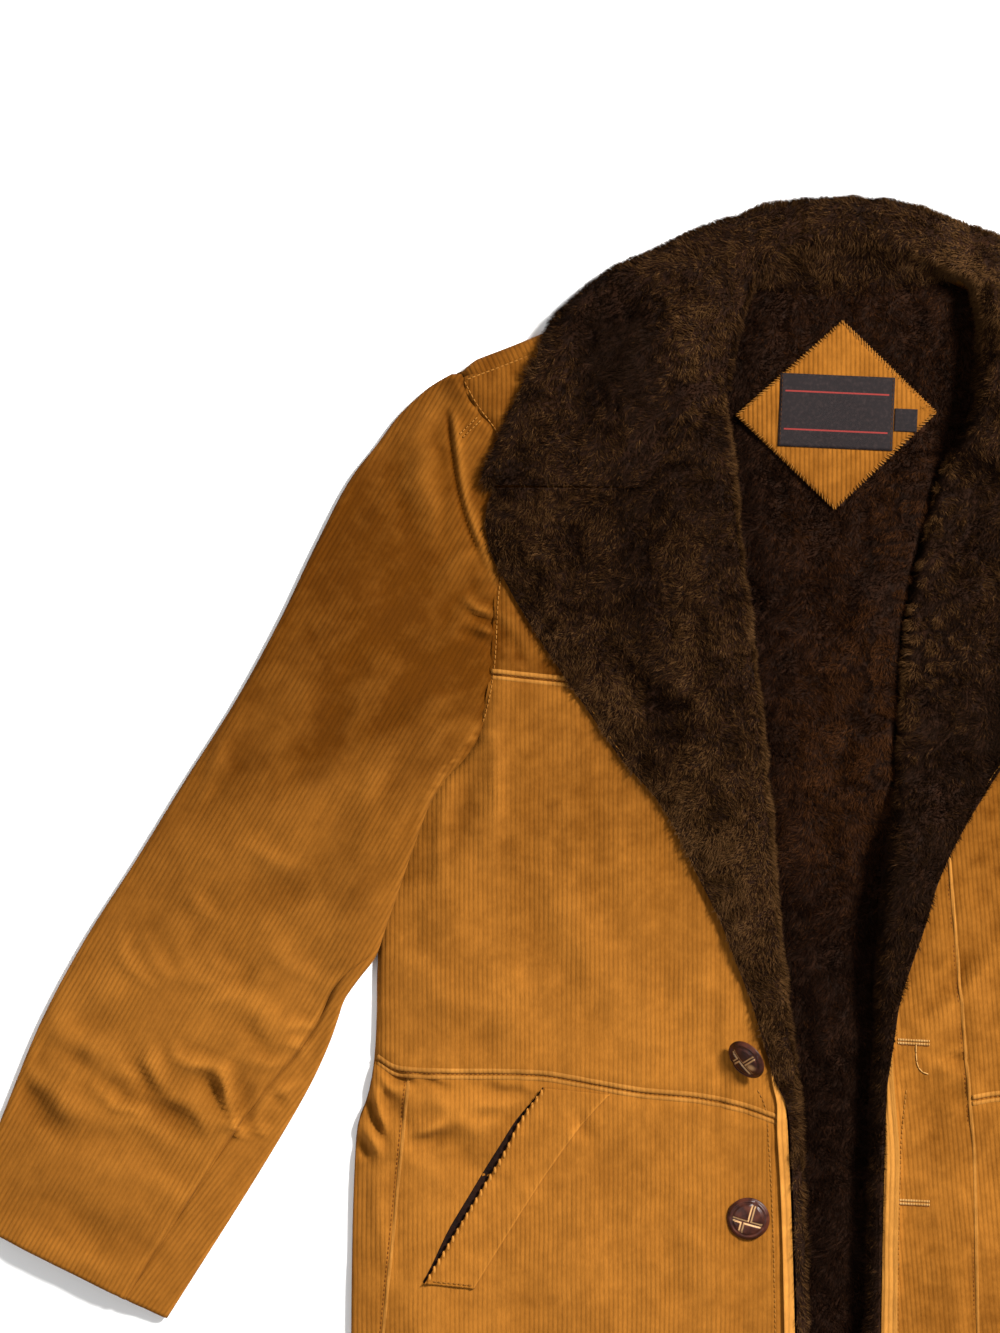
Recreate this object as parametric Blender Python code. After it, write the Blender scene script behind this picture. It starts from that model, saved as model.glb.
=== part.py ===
"""A hip-length rancher jacket laid open on its back: wide-wale corduroy outside, brown pile collar, lapels and lining.

Frame: metres, Z up, the floor at z = 0. X = 0 is the centre line, +Y runs from the hem to the collar.
Tables and sizes are in millimetres. "out" is a distance from the centre line toward a sleeve, so each table serves both sides:
side -1 is the wearer's right, side +1 the wearer's left.
"""

import math
from collections import namedtuple

import bmesh
import bpy
import numpy as np
from mathutils import Matrix

MM = 0.001

# ---------------------------------------------------------------- layers, measured up from the floor
SHELL = 1.8          # corduroy wall
GAP = 0.4            # air between two layers
PRESSED = 4.0        # pile lining between two layers
FREE = 7.0           # pile lining where it lies open
LEAF = 6.5           # lapel face
COLLAR = 5.0         # collar wall
SLEEVE_WALL = 4.6    # corduroy quilted to its own lining
SLEEVE = 12.8        # a sleeve pressed flat, both walls
BACK_TOP = SHELL
LINING_LOW = BACK_TOP + GAP
FACING_LOW = LINING_LOW + PRESSED + GAP
FRONT_LOW = FACING_LOW + PRESSED + GAP
FRONT_TOP = FRONT_LOW + SHELL
UNDER_LAPEL = 1.4
LAPEL_LOW = FRONT_TOP + GAP + UNDER_LAPEL + GAP
LAPEL_TOP = LAPEL_LOW + LEAF
SEAM = 0.5           # gap left between two panels at a seam
ROLL = 7.0           # depth of the rolled front edge, in plan

# ---------------------------------------------------------------- outlines
Edge = namedtuple("Edge", "y out")
Pair = namedtuple("Pair", "y right left")
Spot = namedtuple("Spot", "out y")

BODY = [             # side seam from the hem to the underarm, then the armhole up to the shoulder point
    Edge(-407, 322), Edge(-211, 318), Edge(-185, 311), Edge(-145, 305), Edge(-100, 304), Edge(2, 294),
    Edge(27, 261), Edge(46, 244), Edge(63, 236.5), Edge(92, 230), Edge(149, 226), Edge(208, 221),
    Edge(248, 225), Edge(272, 241), Edge(293, 252),
]
ROLL_LINE = [        # where the front edge turns over
    Pair(-407, 18, 14), Pair(-217, 24, 18), Pair(-172, 27, 19.5), Pair(-93, 37, 23), Pair(-54, 40, 25.5),
    Pair(12, 46, 34), Pair(90, 53, 39), Pair(144, 60, 44), Pair(179, 64, 52), Pair(228, 69, 65),
    Pair(250, 72, 78), Pair(290, 75, 90), Pair(320, 69, 92), Pair(356, 56, 84),
]
LAPEL_EDGE = [
    Pair(-407, 29, 24), Pair(-211, 35, 27), Pair(-188, 37, 29), Pair(-172, 46, 31), Pair(-145, 53, 35),
    Pair(-93, 71, 47), Pair(-41, 94, 64), Pair(12, 122, 92), Pair(38, 145, 111), Pair(90, 181, 163),
    Pair(143, 215, 205), Pair(169, 229, 226), Pair(195, 234.5, 234.5), Pair(213, 231, 231),
]
SLEEVE_OUTER = [
    Edge(293, 252), Edge(284, 268), Edge(264, 290), Edge(225, 320), Edge(182, 343), Edge(130, 368), Edge(77, 397),
    Edge(25, 430), Edge(-27, 462), Edge(-80, 496), Edge(-132, 524), Edge(-185, 546), Edge(-262, 576),
]
SLEEVE_INNER = [     # below the armhole
    Edge(27, 261), Edge(9, 269), Edge(-18, 279), Edge(-73, 298), Edge(-92, 305), Edge(-119, 325), Edge(-145, 334),
    Edge(-172, 346), Edge(-211, 368), Edge(-329, 442),
]
FOREARM_SEAM = [     # seam of the two sleeve pieces, "out" being its distance in from the inner edge
    Edge(-329, 30), Edge(-210, 26), Edge(-188, 23), Edge(-149, 12), Edge(-110, 9), Edge(300, 9),
]
YOKE_SEAM = [Spot(230, 93), Spot(181, 88), Spot(50, 80)]
WAIST_SEAM = [Spot(305, -159), Spot(283, -168), Spot(196, -170), Spot(132, -181), Spot(92, -185), Spot(40, -198), Spot(8, -200)]
SHOULDER = [Spot(252, 292), Spot(191, 316), Spot(87, 366), Spot(0, 408)]
GORGE = Spot(129, 213)   # where the collar seam bends
HEM = -407.0
NECK = 346.0

# the collar from the gorge seam to the centre back: the roll's ridge (its height too), bend of the leaf, outer edge,
# the length of leaf folded under, how far it is folded (0 flat, 1 right under), and the height where the fold starts
Collar = namedtuple("Collar", "y right left high bend_out bend_y edge_out edge_y under fold top")
COLLAR_ROWS = [
    Collar(284, 75.0, 89, 23.0, 132, 219.0, 231, 217, 3, 0.0, 20.5),
    Collar(292, 75.0, 90, 23.5, 137, 235.0, 236, 225, 3, 0.0, 20.5),
    Collar(304, 73.0, 91, 24.0, 140, 270.0, 223, 254, 3, 0.0, 20.5),
    Collar(320, 69.0, 92, 24.5, 138, 305.0, 206, 293, 3, 0.0, 21.0),
    Collar(335, 63.5, 90, 24.5, 130, 328.0, 191, 322, 3, 0.5, 21.0),
    Collar(350, 58.0, 85, 24.0, 112, 349.0, 162, 352, 3, 1.0, 21.0),
    Collar(361, 47.0, 68, 23.0, 86, 363.0, 124, 372, 4, 1.0, 20.5),
    Collar(371, 32.0, 42, 22.0, 53, 377.5, 76, 392, 8, 1.0, 20.0),
    Collar(377, 16.0, 19, 21.0, 26, 386.0, 38, 403, 22, 1.0, 20.0),
    Collar(378, 0.0, 0, 20.5, 0, 389.0, 0, 406, 26, 1.0, 20.0),
]

# the largest folds of a sleeve: soft ridges between two points
Fold = namedtuple("Fold", "out_0 y_0 out_1 y_1 width height")
SLEEVE_FOLDS = [
    Fold(330, -122, 430, -92, 10, 3.0),
    Fold(345, -160, 455, -118, 11, 3.0),
    Fold(385, -214, 470, -176, 12, 2.5),
    Fold(300, 60, 372, 10, 16, 2.5),
    Fold(262, 236, 244, 178, 6, 2.0),
    Fold(340, 130, 420, 0, 22, 2.0),
]

POCKET_TOP = Spot(195, -178)
POCKET_RUN = (0.573, -0.819)   # direction of the slit
POCKET_LENGTH, POCKET_WIDTH, WELT = 150.0, 35.0, 1.8
PATCH = [Spot(-69, 264), Spot(1, 326), Spot(63, 266), Spot(-4, 202)]   # here "out" is plain x
PATCH_WALL = 1.2
LABEL_AT, LABEL_SIZE, LABEL_TURN, LABEL_WALL = Spot(-3, 266), (75.0, 48.0), math.radians(-2.5), 0.8
TAB_AT, TAB_SIZE = Spot(44, 261), (10.0, 15.0)
BUTTON_RADIUS, BUTTON_DOME, BUTTON_AXIS = 14.0, 7.5, (0.6, -0.8, 0.0)
Button = namedtuple("Button", "x y lean")
BUTTONS = [Button(-64, -157, 40), Button(-61, -262, 9), Button(-60, -367, 12)]   # the top one hangs over on its shank


# ---------------------------------------------------------------- curves and small maths
def smooth(low, high, value):
    t = min(1.0, max(0.0, (value - low) / (high - low)))
    return t * t * (3 - 2 * t)


def dome(t):
    """0 at an edge, 1 from t = 1 on, with a round shoulder."""
    t = min(1.0, max(0.0, t))
    return math.sqrt(1 - (1 - t) ** 2)


def through(points):
    """A smooth curve y(x) through points that never overshoots them."""
    xs, ys = (np.array(c, float) for c in zip(*sorted(points)))
    h, d = np.diff(xs), np.diff(ys) / np.diff(xs)
    m = np.concatenate([[d[0]], (d[:-1] + d[1:]) / 2, [d[-1]]])
    m[1:-1][d[:-1] * d[1:] <= 0] = 0
    for i in range(len(d)):
        top = 3 * abs(d[i])
        m[i], m[i + 1] = (math.copysign(min(abs(k), top), k) for k in (m[i], m[i + 1]))

    def at(x):
        i = int(min(len(h) - 1, max(0, np.searchsorted(xs, x) - 1)))
        t = min(1.0, max(0.0, (x - xs[i]) / h[i]))
        return float(
            ys[i] * (1 + 2 * t) * (1 - t) ** 2 + h[i] * m[i] * t * (1 - t) ** 2
            + ys[i + 1] * t * t * (3 - 2 * t) + h[i] * m[i + 1] * t * t * (t - 1)
        )

    return at


def along(points):
    """A point on a polyline at a fraction of its length."""
    p = np.array(points, float)
    run = np.concatenate([[0], np.cumsum(np.linalg.norm(np.diff(p, axis=0), axis=1))])
    return lambda f: np.array([np.interp(f * run[-1], run, p[:, k]) for k in range(p.shape[1])])


body_out = through([(e.y, e.out) for e in BODY])
sleeve_in = through([(e.y, e.out) for e in SLEEVE_INNER])


def front_out(y):
    """Outer edge of a front: it stops beside the sleeve below the armhole."""
    return min(body_out(y), sleeve_in(y) - 4 * smooth(60, 27, y)) if y < 60 else body_out(y)


roll_out = {-1: through([(p.y, p.right) for p in ROLL_LINE]), 1: through([(p.y, p.left) for p in ROLL_LINE])}
lapel_out = {-1: through([(p.y, p.right) for p in LAPEL_EDGE]), 1: through([(p.y, p.left) for p in LAPEL_EDGE])}
yoke_y = through([(s.out, s.y) for s in YOKE_SEAM])
waist_y = through([(s.out, s.y) for s in WAIST_SEAM])
shoulder_y = through([(s.out, s.y) for s in SHOULDER])


# ---------------------------------------------------------------- heights
def front_low(out, y):
    """Underside of the front corduroy: full height inside, down on the back along the side and shoulder."""
    side = dome((front_out(y) - out) / 22)
    side += (1 - side) * smooth(24, 80, y)
    over = side * dome((shoulder_y(out) - y) / 16)
    return LINING_LOW + (FRONT_LOW - LINING_LOW) * over


def lining_top(x, y):
    """Top of the back lining, thicker in the opening between the two fronts."""
    inside = min(x + roll_out[-1](y), roll_out[1](y) - x)
    return LINING_LOW + PRESSED + (FREE - PRESSED) * smooth(5, 19, inside)


def sleeve_base(out, y):
    """What a sleeve lies on: the floor, or the back where it laps over the side seam."""
    return 2.4 * smooth(-45, -12, body_out(y) - out) * (1 - smooth(27, 70, y))


def sleeve_fold(out, y):
    total = 0.0
    for f in SLEEVE_FOLDS:
        ax, ay, bx, by = f.out_0, f.y_0, f.out_1, f.y_1
        t = ((out - ax) * (bx - ax) + (y - ay) * (by - ay)) / ((bx - ax) ** 2 + (by - ay) ** 2)
        t = min(1.0, max(0.0, t))
        away = math.hypot(out - ax - t * (bx - ax), y - ay - t * (by - ay))
        total += f.height * math.exp(-((away / f.width) ** 2)) * math.sin(math.pi * (0.15 + 0.7 * t))
    return total


# ---------------------------------------------------------------- makers
def material(name, rgb, rough):
    m = bpy.data.materials.new(name)
    m.use_nodes = True
    b = m.node_tree.nodes["Principled BSDF"]
    b.inputs["Base Color"].default_value = (*rgb, 1)
    b.inputs["Roughness"].default_value = rough
    return m


def finish(name, bm, look):
    bmesh.ops.recalc_face_normals(bm, faces=bm.faces[:])
    if bm.calc_volume(signed=True) < 0:
        bmesh.ops.reverse_faces(bm, faces=bm.faces[:])
    mesh = bpy.data.meshes.new(name)
    bm.to_mesh(mesh)
    bm.free()
    mesh.materials.append(look)
    made = bpy.data.objects.new(name, mesh)
    jacket.objects.link(made)
    return made


def wall(name, columns, rows, outside, inside, look):
    """A cloth wall: a grid laid on its outer surface and extruded through to its inner one. u runs over columns, v over rows."""
    bm = bmesh.new()
    bmesh.ops.create_grid(bm, x_segments=columns, y_segments=rows, size=0.5)
    us, vs = bm.verts.layers.float.new("u"), bm.verts.layers.float.new("v")
    for vert in bm.verts:
        vert[us], vert[vs] = vert.co.x + 0.5, vert.co.y + 0.5
    first = bm.verts[:]
    second = [g for g in bmesh.ops.extrude_face_region(bm, geom=bm.faces[:])["geom"] if isinstance(g, bmesh.types.BMVert)]
    for verts, surface in ((first, outside), (second, inside)):
        for vert in verts:
            vert.co = [c * MM for c in surface(vert[us], vert[vs])]
    return finish(name, bm, look)


def panel(name, columns, rows, plan, low, high, look):
    """A wall between two heights over a plan."""
    def at(height):
        def place(u, v):
            x, y = plan(u, v)
            return x, y, height(x, y)
        return place
    return wall(name, columns, rows, at(high), at(low), look)


# ---------------------------------------------------------------- the pieces
def back_pieces():
    def plan_of(side_in, arm_in, top_in, hem_in, neck, opened):
        def plan(u, v):
            y = HEM + hem_in + v * (293 - HEM - hem_in)
            half = (front_out(y) if opened else body_out(y)) - side_in + (side_in - arm_in) * smooth(30, 80, y)
            x = (2 * u - 1) * half
            if opened:       # three columns behind each front, six across the opening
                mid = y + max(0.0, (y - 60) / (293 - 60)) * (neck(0) - 293)
                a, b = 4 - roll_out[-1](mid), roll_out[1](mid) - 4
                ramp = min(14.0, (b - a) * 0.3)
                x = float(np.interp(u, [0, 3 / 12, 4 / 12, 8 / 12, 9 / 12, 1], [-half, a, a + ramp, b - ramp, b, half]))
            y_top = min(shoulder_y(abs(x)) - top_in, neck(abs(x)))
            # rows above the underarm spread up to the shoulder and neck
            k = max(0.0, (y - 60) / (293 - 60))
            return x, y + k * (y_top - 293)
        return plan

    shell_neck = through([(0, NECK + 2), (45, NECK + 6), (87, 366), (260, 420)])
    lining_neck = through([(0, NECK - 1.5), (70, NECK - 1.5), (100, NECK + 4), (260, 420)])
    panel("back_shell", 12, 22, plan_of(0, 1.2, 0, 0, shell_neck, False), lambda x, y: 0.0, lambda x, y: BACK_TOP, corduroy)
    panel("back_lining", 12, 14, plan_of(26, 12, 22, 6, lining_neck, True), lambda x, y: LINING_LOW, lining_top, pile)


def front_pieces(side, mark):
    inner = lambda y: roll_out[side](y) + ROLL + 3
    top_y = 352.0

    def yoke(u, v):
        y = yoke_y(230) + SEAM + v * (286 - yoke_y(230))
        a, b = body_out(y) - SEAM, inner(yoke_y(60) + v * (top_y - yoke_y(60)))
        out = a + u * (b - a)
        low = yoke_y(out) + SEAM
        return side * out, low + v * (shoulder_y(out) - 5 - low)

    def body(u, v):
        y = waist_y(305) + v * (yoke_y(230) - waist_y(305))
        a, b = front_out(y) - SEAM, inner(y)
        out = a + u * (b - a)
        low, high = waist_y(out) + SEAM, yoke_y(out)
        return side * out, low + v * (high - low)

    def skirt(u, v):
        y = HEM + 1 + v * (waist_y(305) - HEM - 1)
        a, b = front_out(y) - SEAM, inner(y)
        out = a + u * (b - a)
        return side * out, HEM + 1 + v * (waist_y(out) - HEM - 1)

    low = lambda x, y: front_low(abs(x), y)
    high = lambda x, y: front_low(abs(x), y) + SHELL
    panel(f"front_yoke_{mark}", 8, 7, yoke, low, high, corduroy)
    panel(f"front_body_{mark}", 9, 9, body, low, high, corduroy)
    panel(f"front_skirt_{mark}", 9, 7, skirt, low, high, corduroy)

    def welt(u, v):
        along_x, along_y = POCKET_RUN
        return (side * (POCKET_TOP.out + v * POCKET_LENGTH * along_x - u * POCKET_WIDTH * -along_y),
                POCKET_TOP.y + v * POCKET_LENGTH * along_y - u * POCKET_WIDTH * along_x * 0.25)
    panel(f"pocket_welt_{mark}", 2, 8, welt, lambda x, y: high(x, y) + 0.5, lambda x, y: high(x, y) + 0.5 + WELT, corduroy)


def facing(side, mark):
    """One pile sheet: the lapel's face, the rolled edge and the lining behind the front."""
    face, turn, behind = 4, 4, 2
    columns, rows = face + turn + behind, 16
    low_y, high_y = HEM + 4, 273.0

    def row(v):
        y = low_y + v * (high_y - low_y)
        edge_y = y if y < 50 else 50 + (y - 50) * (211.5 - 50) / (high_y - 50)
        start = np.array([roll_out[side](y) + ROLL, y])
        tip = np.array([lapel_out[side](edge_y), edge_y])
        bend = (start + tip) / 2
        bend += smooth(60, high_y, y) * (np.array([GORGE.out, GORGE.y]) - bend)
        return y, start, along([tip, bend, start])

    def point(u, v, out_side):
        y, start, leaf = row(v)
        k = u * columns
        top, bottom = (LAPEL_TOP, FACING_LOW) if out_side else (LAPEL_LOW, FACING_LOW + PRESSED)
        if k <= face:
            p = leaf(k / face)
            return side * p[0], p[1], top
        if k <= face + turn:
            angle = math.pi * (k - face) / turn
            reach = ROLL if out_side else 2.0
            mid, half = (top + bottom) / 2, (top - bottom) / 2
            return side * (start[0] - reach * math.sin(angle)), y, mid + half * math.cos(angle)
        end = front_out(y) - 44 + 20 * smooth(40, 90, y)
        out = start[0] + (k - face - turn) / behind * (end - start[0])
        return side * out, y, bottom

    wall(f"facing_{mark}", columns, rows, lambda u, v: point(u, v, True), lambda u, v: point(u, v, False), pile)

    def under(u, v):
        y = HEM + 2 + v * (205 - HEM - 2)
        proud = -4 + 6 * (1 - smooth(-70, 10, y)) + 5 * (1 - smooth(-200, -170, y))
        a, b = lapel_out[side](y) + proud, roll_out[side](y) + ROLL + 1.5
        return side * (a + u * (b - a)), y

    base = lambda x, y: FRONT_TOP + GAP
    panel(f"under_lapel_{mark}", 3, 15, under, base, lambda x, y: base(x, y) + UNDER_LAPEL, corduroy)


def collar_piece():
    stand, ridge, leaf, curl, tuck = 2, 3, 4, 4, 2
    rows = [(-1, r) for r in COLLAR_ROWS] + [(1, r) for r in COLLAR_ROWS[-2::-1]]
    edges = np.array([[s * r.edge_out, r.edge_y] for s, r in rows], float)
    ways = np.gradient(edges, axis=0)
    normals = np.stack([-ways[:, 1], ways[:, 0]], axis=1)
    normals /= np.linalg.norm(normals, axis=1)[:, None]

    grid = []
    for (side, r), n in zip(rows, normals):
        out = r.right if side < 0 else r.left
        crest = np.array([side * out, r.y])
        back = smooth(335, 365, r.y)             # the foot of the stand drops to the neck seam
        foot = np.array([side * min(out, 57 * out / 58), min(r.y, NECK + 0.5)])
        height = r.high
        foot_z = lining_top(*foot) + 0.9 + 3.0 * (1 - back)
        radius = 10.0 if r.fold else 3.0
        edge = np.array([side * r.edge_out, r.edge_y])
        root = edge - n * (radius if r.fold == 1 else 6.0)
        bend = np.array([side * r.bend_out, r.bend_y])
        away = bend - crest
        away /= np.linalg.norm(away)
        points = []
        top = np.array([*(crest + away * 7), height])
        low = np.array([*foot, foot_z])
        knee = np.array([*(crest + (foot - crest) * 0.1), height - 5])
        for k in range(stand):
            points.append(low + (knee - low) * k / stand)
        for k in range(ridge):                   # round over the ridge
            t = k / ridge
            corner = np.array([*crest, height])
            points.append(knee * (1 - t) ** 2 + corner * 2 * t * (1 - t) + top * t * t)
        path = along([top[:2], bend, root])
        for k in range(leaf):
            p = path(k / leaf)
            points.append(np.array([*p, height + (r.top - height) * k / leaf]))
        turn = math.pi * r.fold                  # round the edge and under
        for k in range(curl + 1):
            a = turn * k / curl
            if turn:
                far, drop = math.sin(a) * 10, (1 - math.cos(a)) * r.top / 2
            else:
                far, drop = 3.0 * k / curl, 0.0
            points.append(np.array([*(root + n * far), r.top - drop]))
        last = points[-1]
        ahead = np.array([*(n * math.cos(turn)), -math.sin(turn)])
        for k in range(1, tuck + 1):
            points.append(last + ahead * r.under * k / tuck)
        grid.append(points)
    grid = np.array(grid)
    across, down = np.gradient(grid, axis=0), np.gradient(grid, axis=1)
    outward = np.cross(across, down)
    outward /= np.linalg.norm(outward, axis=2)[:, :, None]
    inner = grid - outward * COLLAR
    last_row, last_column = grid.shape[0] - 1, grid.shape[1] - 1
    pick = lambda g: lambda u, v: g[round(v * last_row), round(u * last_column)]
    wall("collar", last_column, last_row, pick(grid), pick(inner), pile)


def sleeve(side, mark):
    arm = [(body_out(y), y) for y in np.linspace(290, 27, 24)]
    outer_y = through([(e.y, e.out) for e in SLEEVE_OUTER])
    outer = along([(outer_y(y), y) for y in np.linspace(289, -262, 60)])
    inner_points = arm + [(sleeve_in(y), y) for y in np.linspace(22, -329, 40)]
    inner = along(inner_points)
    seam_in = through([(e.y, e.out) for e in FOREARM_SEAM])
    rows = 18

    def row(v):
        """Pairs of outer and inner points round the flat tube, as distance from the outer edge and height over its base."""
        a, b = outer(v), inner(v)
        length = float(np.linalg.norm(b - a))
        fold = min(9.0, 0.4 * length)
        thick = SLEEVE * min(1.0, 0.35 + length / 40)
        wall_ = min(SLEEVE_WALL, thick * 0.36, fold * 0.6)
        free = 1 - smooth(-14, 27, b[1])         # 0 along the armhole, 1 where the inner edge is a fold
        clear = 1 - smooth(27, 75, b[1])         # the top piece draws back first
        return a, b, length, fold, thick, wall_, free, clear

    def lay(a, b, length, far, rise, out_side, thick, top):
        p = a + (b - a) * far / length
        z = sleeve_base(*p) + rise + (sleeve_fold(*p) if top else 0)
        return side * p[0], p[1], z

    top_cells, fold_cells = 8, 4

    def upper(u, v, outside):
        a, b, length, fold, thick, wall_, free, clear = row(v)
        start = length - 1.5 - clear * (seam_in(b[1]) + SEAM - 1.5)
        k = u * (top_cells + fold_cells + 1)
        skin = 0 if outside else wall_
        if k <= top_cells:
            far = start + (fold - start) * k / top_cells
            return lay(a, b, length, far, thick - skin, outside, thick, True)
        if k <= top_cells + fold_cells:
            angle = math.pi * (k - top_cells) / fold_cells
            far = fold - (fold - skin) * math.sin(angle)
            return lay(a, b, length, far, thick / 2 + (thick / 2 - skin) * math.cos(angle), outside, thick, angle < 1.6)
        far = fold + min(18.0, 0.2 * length) * (k - top_cells - fold_cells)
        return lay(a, b, length, far, skin, outside, thick, False)

    wall(f"sleeve_top_{mark}", top_cells + fold_cells + 1, rows, lambda u, v: upper(u, v, True), lambda u, v: upper(u, v, False), corduroy)

    low_cells = 7

    def lower(u, v, outside):
        a, b, length, fold, thick, wall_, free, clear = row(v)
        skin = 0 if outside else wall_
        start = fold + min(18.0, 0.2 * length) + 4 * SEAM
        end = max(start + 1.5, length - 1.5 - free * (fold - 1.5))
        k = u * (low_cells + fold_cells)
        if k <= low_cells:
            return lay(a, b, length, start + (end - start) * k / low_cells, skin, outside, thick, False)
        t = (k - low_cells) / fold_cells
        if free < 1e-6:                          # sewn to the armhole: the wall ends there
            return lay(a, b, length, end + 0.6 * t, skin, outside, thick, False)
        if t <= 0.76:
            angle = math.pi * free * t / 0.75
            far = end + (fold - skin) * math.sin(angle) * free
            return lay(a, b, length, far, thick / 2 - (thick / 2 - skin) * math.cos(angle), outside, thick, angle > 1.6)
        angle = math.pi * free
        back = seam_in(b[1]) - fold + 0.3
        far = end + (fold - skin) * math.sin(angle) * free - free * back
        return lay(a, b, length, far, thick / 2 - (thick / 2 - skin) * math.cos(angle), outside, thick, True)

    wall(f"sleeve_under_{mark}", low_cells + fold_cells, rows, lambda u, v: lower(u, v, True), lambda u, v: lower(u, v, False), corduroy)


def neck_labels():
    def on(height):
        return lambda x, y: LINING_LOW + FREE + height

    def diamond(u, v):
        left, top, right, bottom = (np.array(p, float) for p in PATCH)
        p = (1 - u) * (1 - v) * bottom + u * (1 - v) * right + (1 - u) * v * left + u * v * top
        return p[0], p[1]

    def turned(at, size):
        def place(u, v):
            x, y = (u - 0.5) * size[0], (v - 0.5) * size[1]
            c, s = math.cos(LABEL_TURN), math.sin(LABEL_TURN)
            return at.out + c * x - s * y, at.y + s * x + c * y
        return place

    panel("label_patch", 4, 4, diamond, on(0.4), on(0.4 + PATCH_WALL), corduroy)
    up = 0.4 + PATCH_WALL + 0.6
    panel("label", 5, 3, turned(LABEL_AT, LABEL_SIZE), on(up), on(up + LABEL_WALL), woven)
    panel("size_tab", 2, 2, turned(TAB_AT, TAB_SIZE), on(up), on(up + LABEL_WALL), woven)


def buttons():
    """Domed shank buttons, each a turned profile leaning on its shank."""
    for number, b in enumerate(BUTTONS, 1):
        bm = bmesh.new()
        profile = [(0.0, -4.5), (3.0, -4.5), (3.0, -1.5), (10.5, -1.2), (BUTTON_RADIUS, 1.2), (13.2, 3.4), (9.5, 5.8), (5.0, 7.1), (0.0, BUTTON_DOME)]
        verts = [bm.verts.new((r * MM, 0, z * MM)) for r, z in profile]
        edges = [bm.edges.new(pair) for pair in zip(verts, verts[1:])]
        bmesh.ops.spin(bm, geom=verts + edges, axis=(0, 0, 1), cent=(0, 0, 0), angle=math.tau, steps=14, use_merge=True)
        bmesh.ops.remove_doubles(bm, verts=bm.verts[:], dist=0.00005)
        bmesh.ops.transform(bm, matrix=Matrix.Rotation(math.radians(-b.lean), 4, BUTTON_AXIS), verts=bm.verts[:])
        seat = (front_low(-b.x, b.y) + SHELL + GAP + UNDER_LAPEL + GAP) * MM - min(vert.co.z for vert in bm.verts)
        bmesh.ops.translate(bm, vec=(b.x * MM, b.y * MM, seat), verts=bm.verts[:])
        finish(f"button_{number}", bm, leather)


for old in list(bpy.data.objects):
    bpy.data.objects.remove(old)
jacket = bpy.data.collections.new("rancher_jacket")
bpy.context.scene.collection.children.link(jacket)
corduroy = material("corduroy", (0.42, 0.19, 0.045), 0.9)
pile = material("brown_pile", (0.03, 0.012, 0.005), 0.95)
woven = material("woven_tape", (0.05, 0.035, 0.035), 0.8)
leather = material("braided_leather", (0.05, 0.022, 0.012), 0.4)

back_pieces()
for side, mark in ((-1, "r"), (1, "l")):
    front_pieces(side, mark)
    facing(side, mark)
    sleeve(side, mark)
collar_piece()
neck_labels()
buttons()
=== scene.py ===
"""Looks of the rancher jacket: corduroy panels with their folds, pile collar, lapels and lining, stitching, label and buttons.

Sizes are in millimetres, in the part's frame: X = 0 is the centre line, +Y runs from hem to collar, the floor is z = 0.
"out" is a distance from the centre line; side -1 is the wearer's right, side +1 the wearer's left.
"""

import math
from collections import namedtuple

import bpy
import numpy as np
from mathutils import Matrix, Vector


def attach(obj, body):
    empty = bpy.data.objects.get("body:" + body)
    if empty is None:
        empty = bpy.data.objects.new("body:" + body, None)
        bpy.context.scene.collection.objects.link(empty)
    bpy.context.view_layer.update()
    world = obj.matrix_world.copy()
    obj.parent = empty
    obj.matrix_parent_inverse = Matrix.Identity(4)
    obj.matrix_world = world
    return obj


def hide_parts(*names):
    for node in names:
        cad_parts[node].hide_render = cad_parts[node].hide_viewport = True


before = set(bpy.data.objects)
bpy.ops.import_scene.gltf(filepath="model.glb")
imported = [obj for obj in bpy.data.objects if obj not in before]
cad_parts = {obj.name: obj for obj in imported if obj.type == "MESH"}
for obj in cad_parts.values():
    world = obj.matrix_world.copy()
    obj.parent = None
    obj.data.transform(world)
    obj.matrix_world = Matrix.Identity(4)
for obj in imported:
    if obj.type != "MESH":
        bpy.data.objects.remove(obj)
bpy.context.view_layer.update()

MM = 0.001
PITCH = 0.00305                # corduroy rib, metres
rng = np.random.default_rng(44)

# ------------------------------------------------------------------ layers
SHELL, GAP = 1.8, 0.4
LINING_LOW, FACING_LOW, FRONT_LOW = 2.2, 6.6, 11.0
FRONT_TOP = FRONT_LOW + SHELL
SLEEVE = 12.8
HEM, NECK = -407.0, 346.0
ROLL = 9.0

Edge = namedtuple("Edge", "y out")
Pair = namedtuple("Pair", "y right left")
Spot = namedtuple("Spot", "out y")

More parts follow.
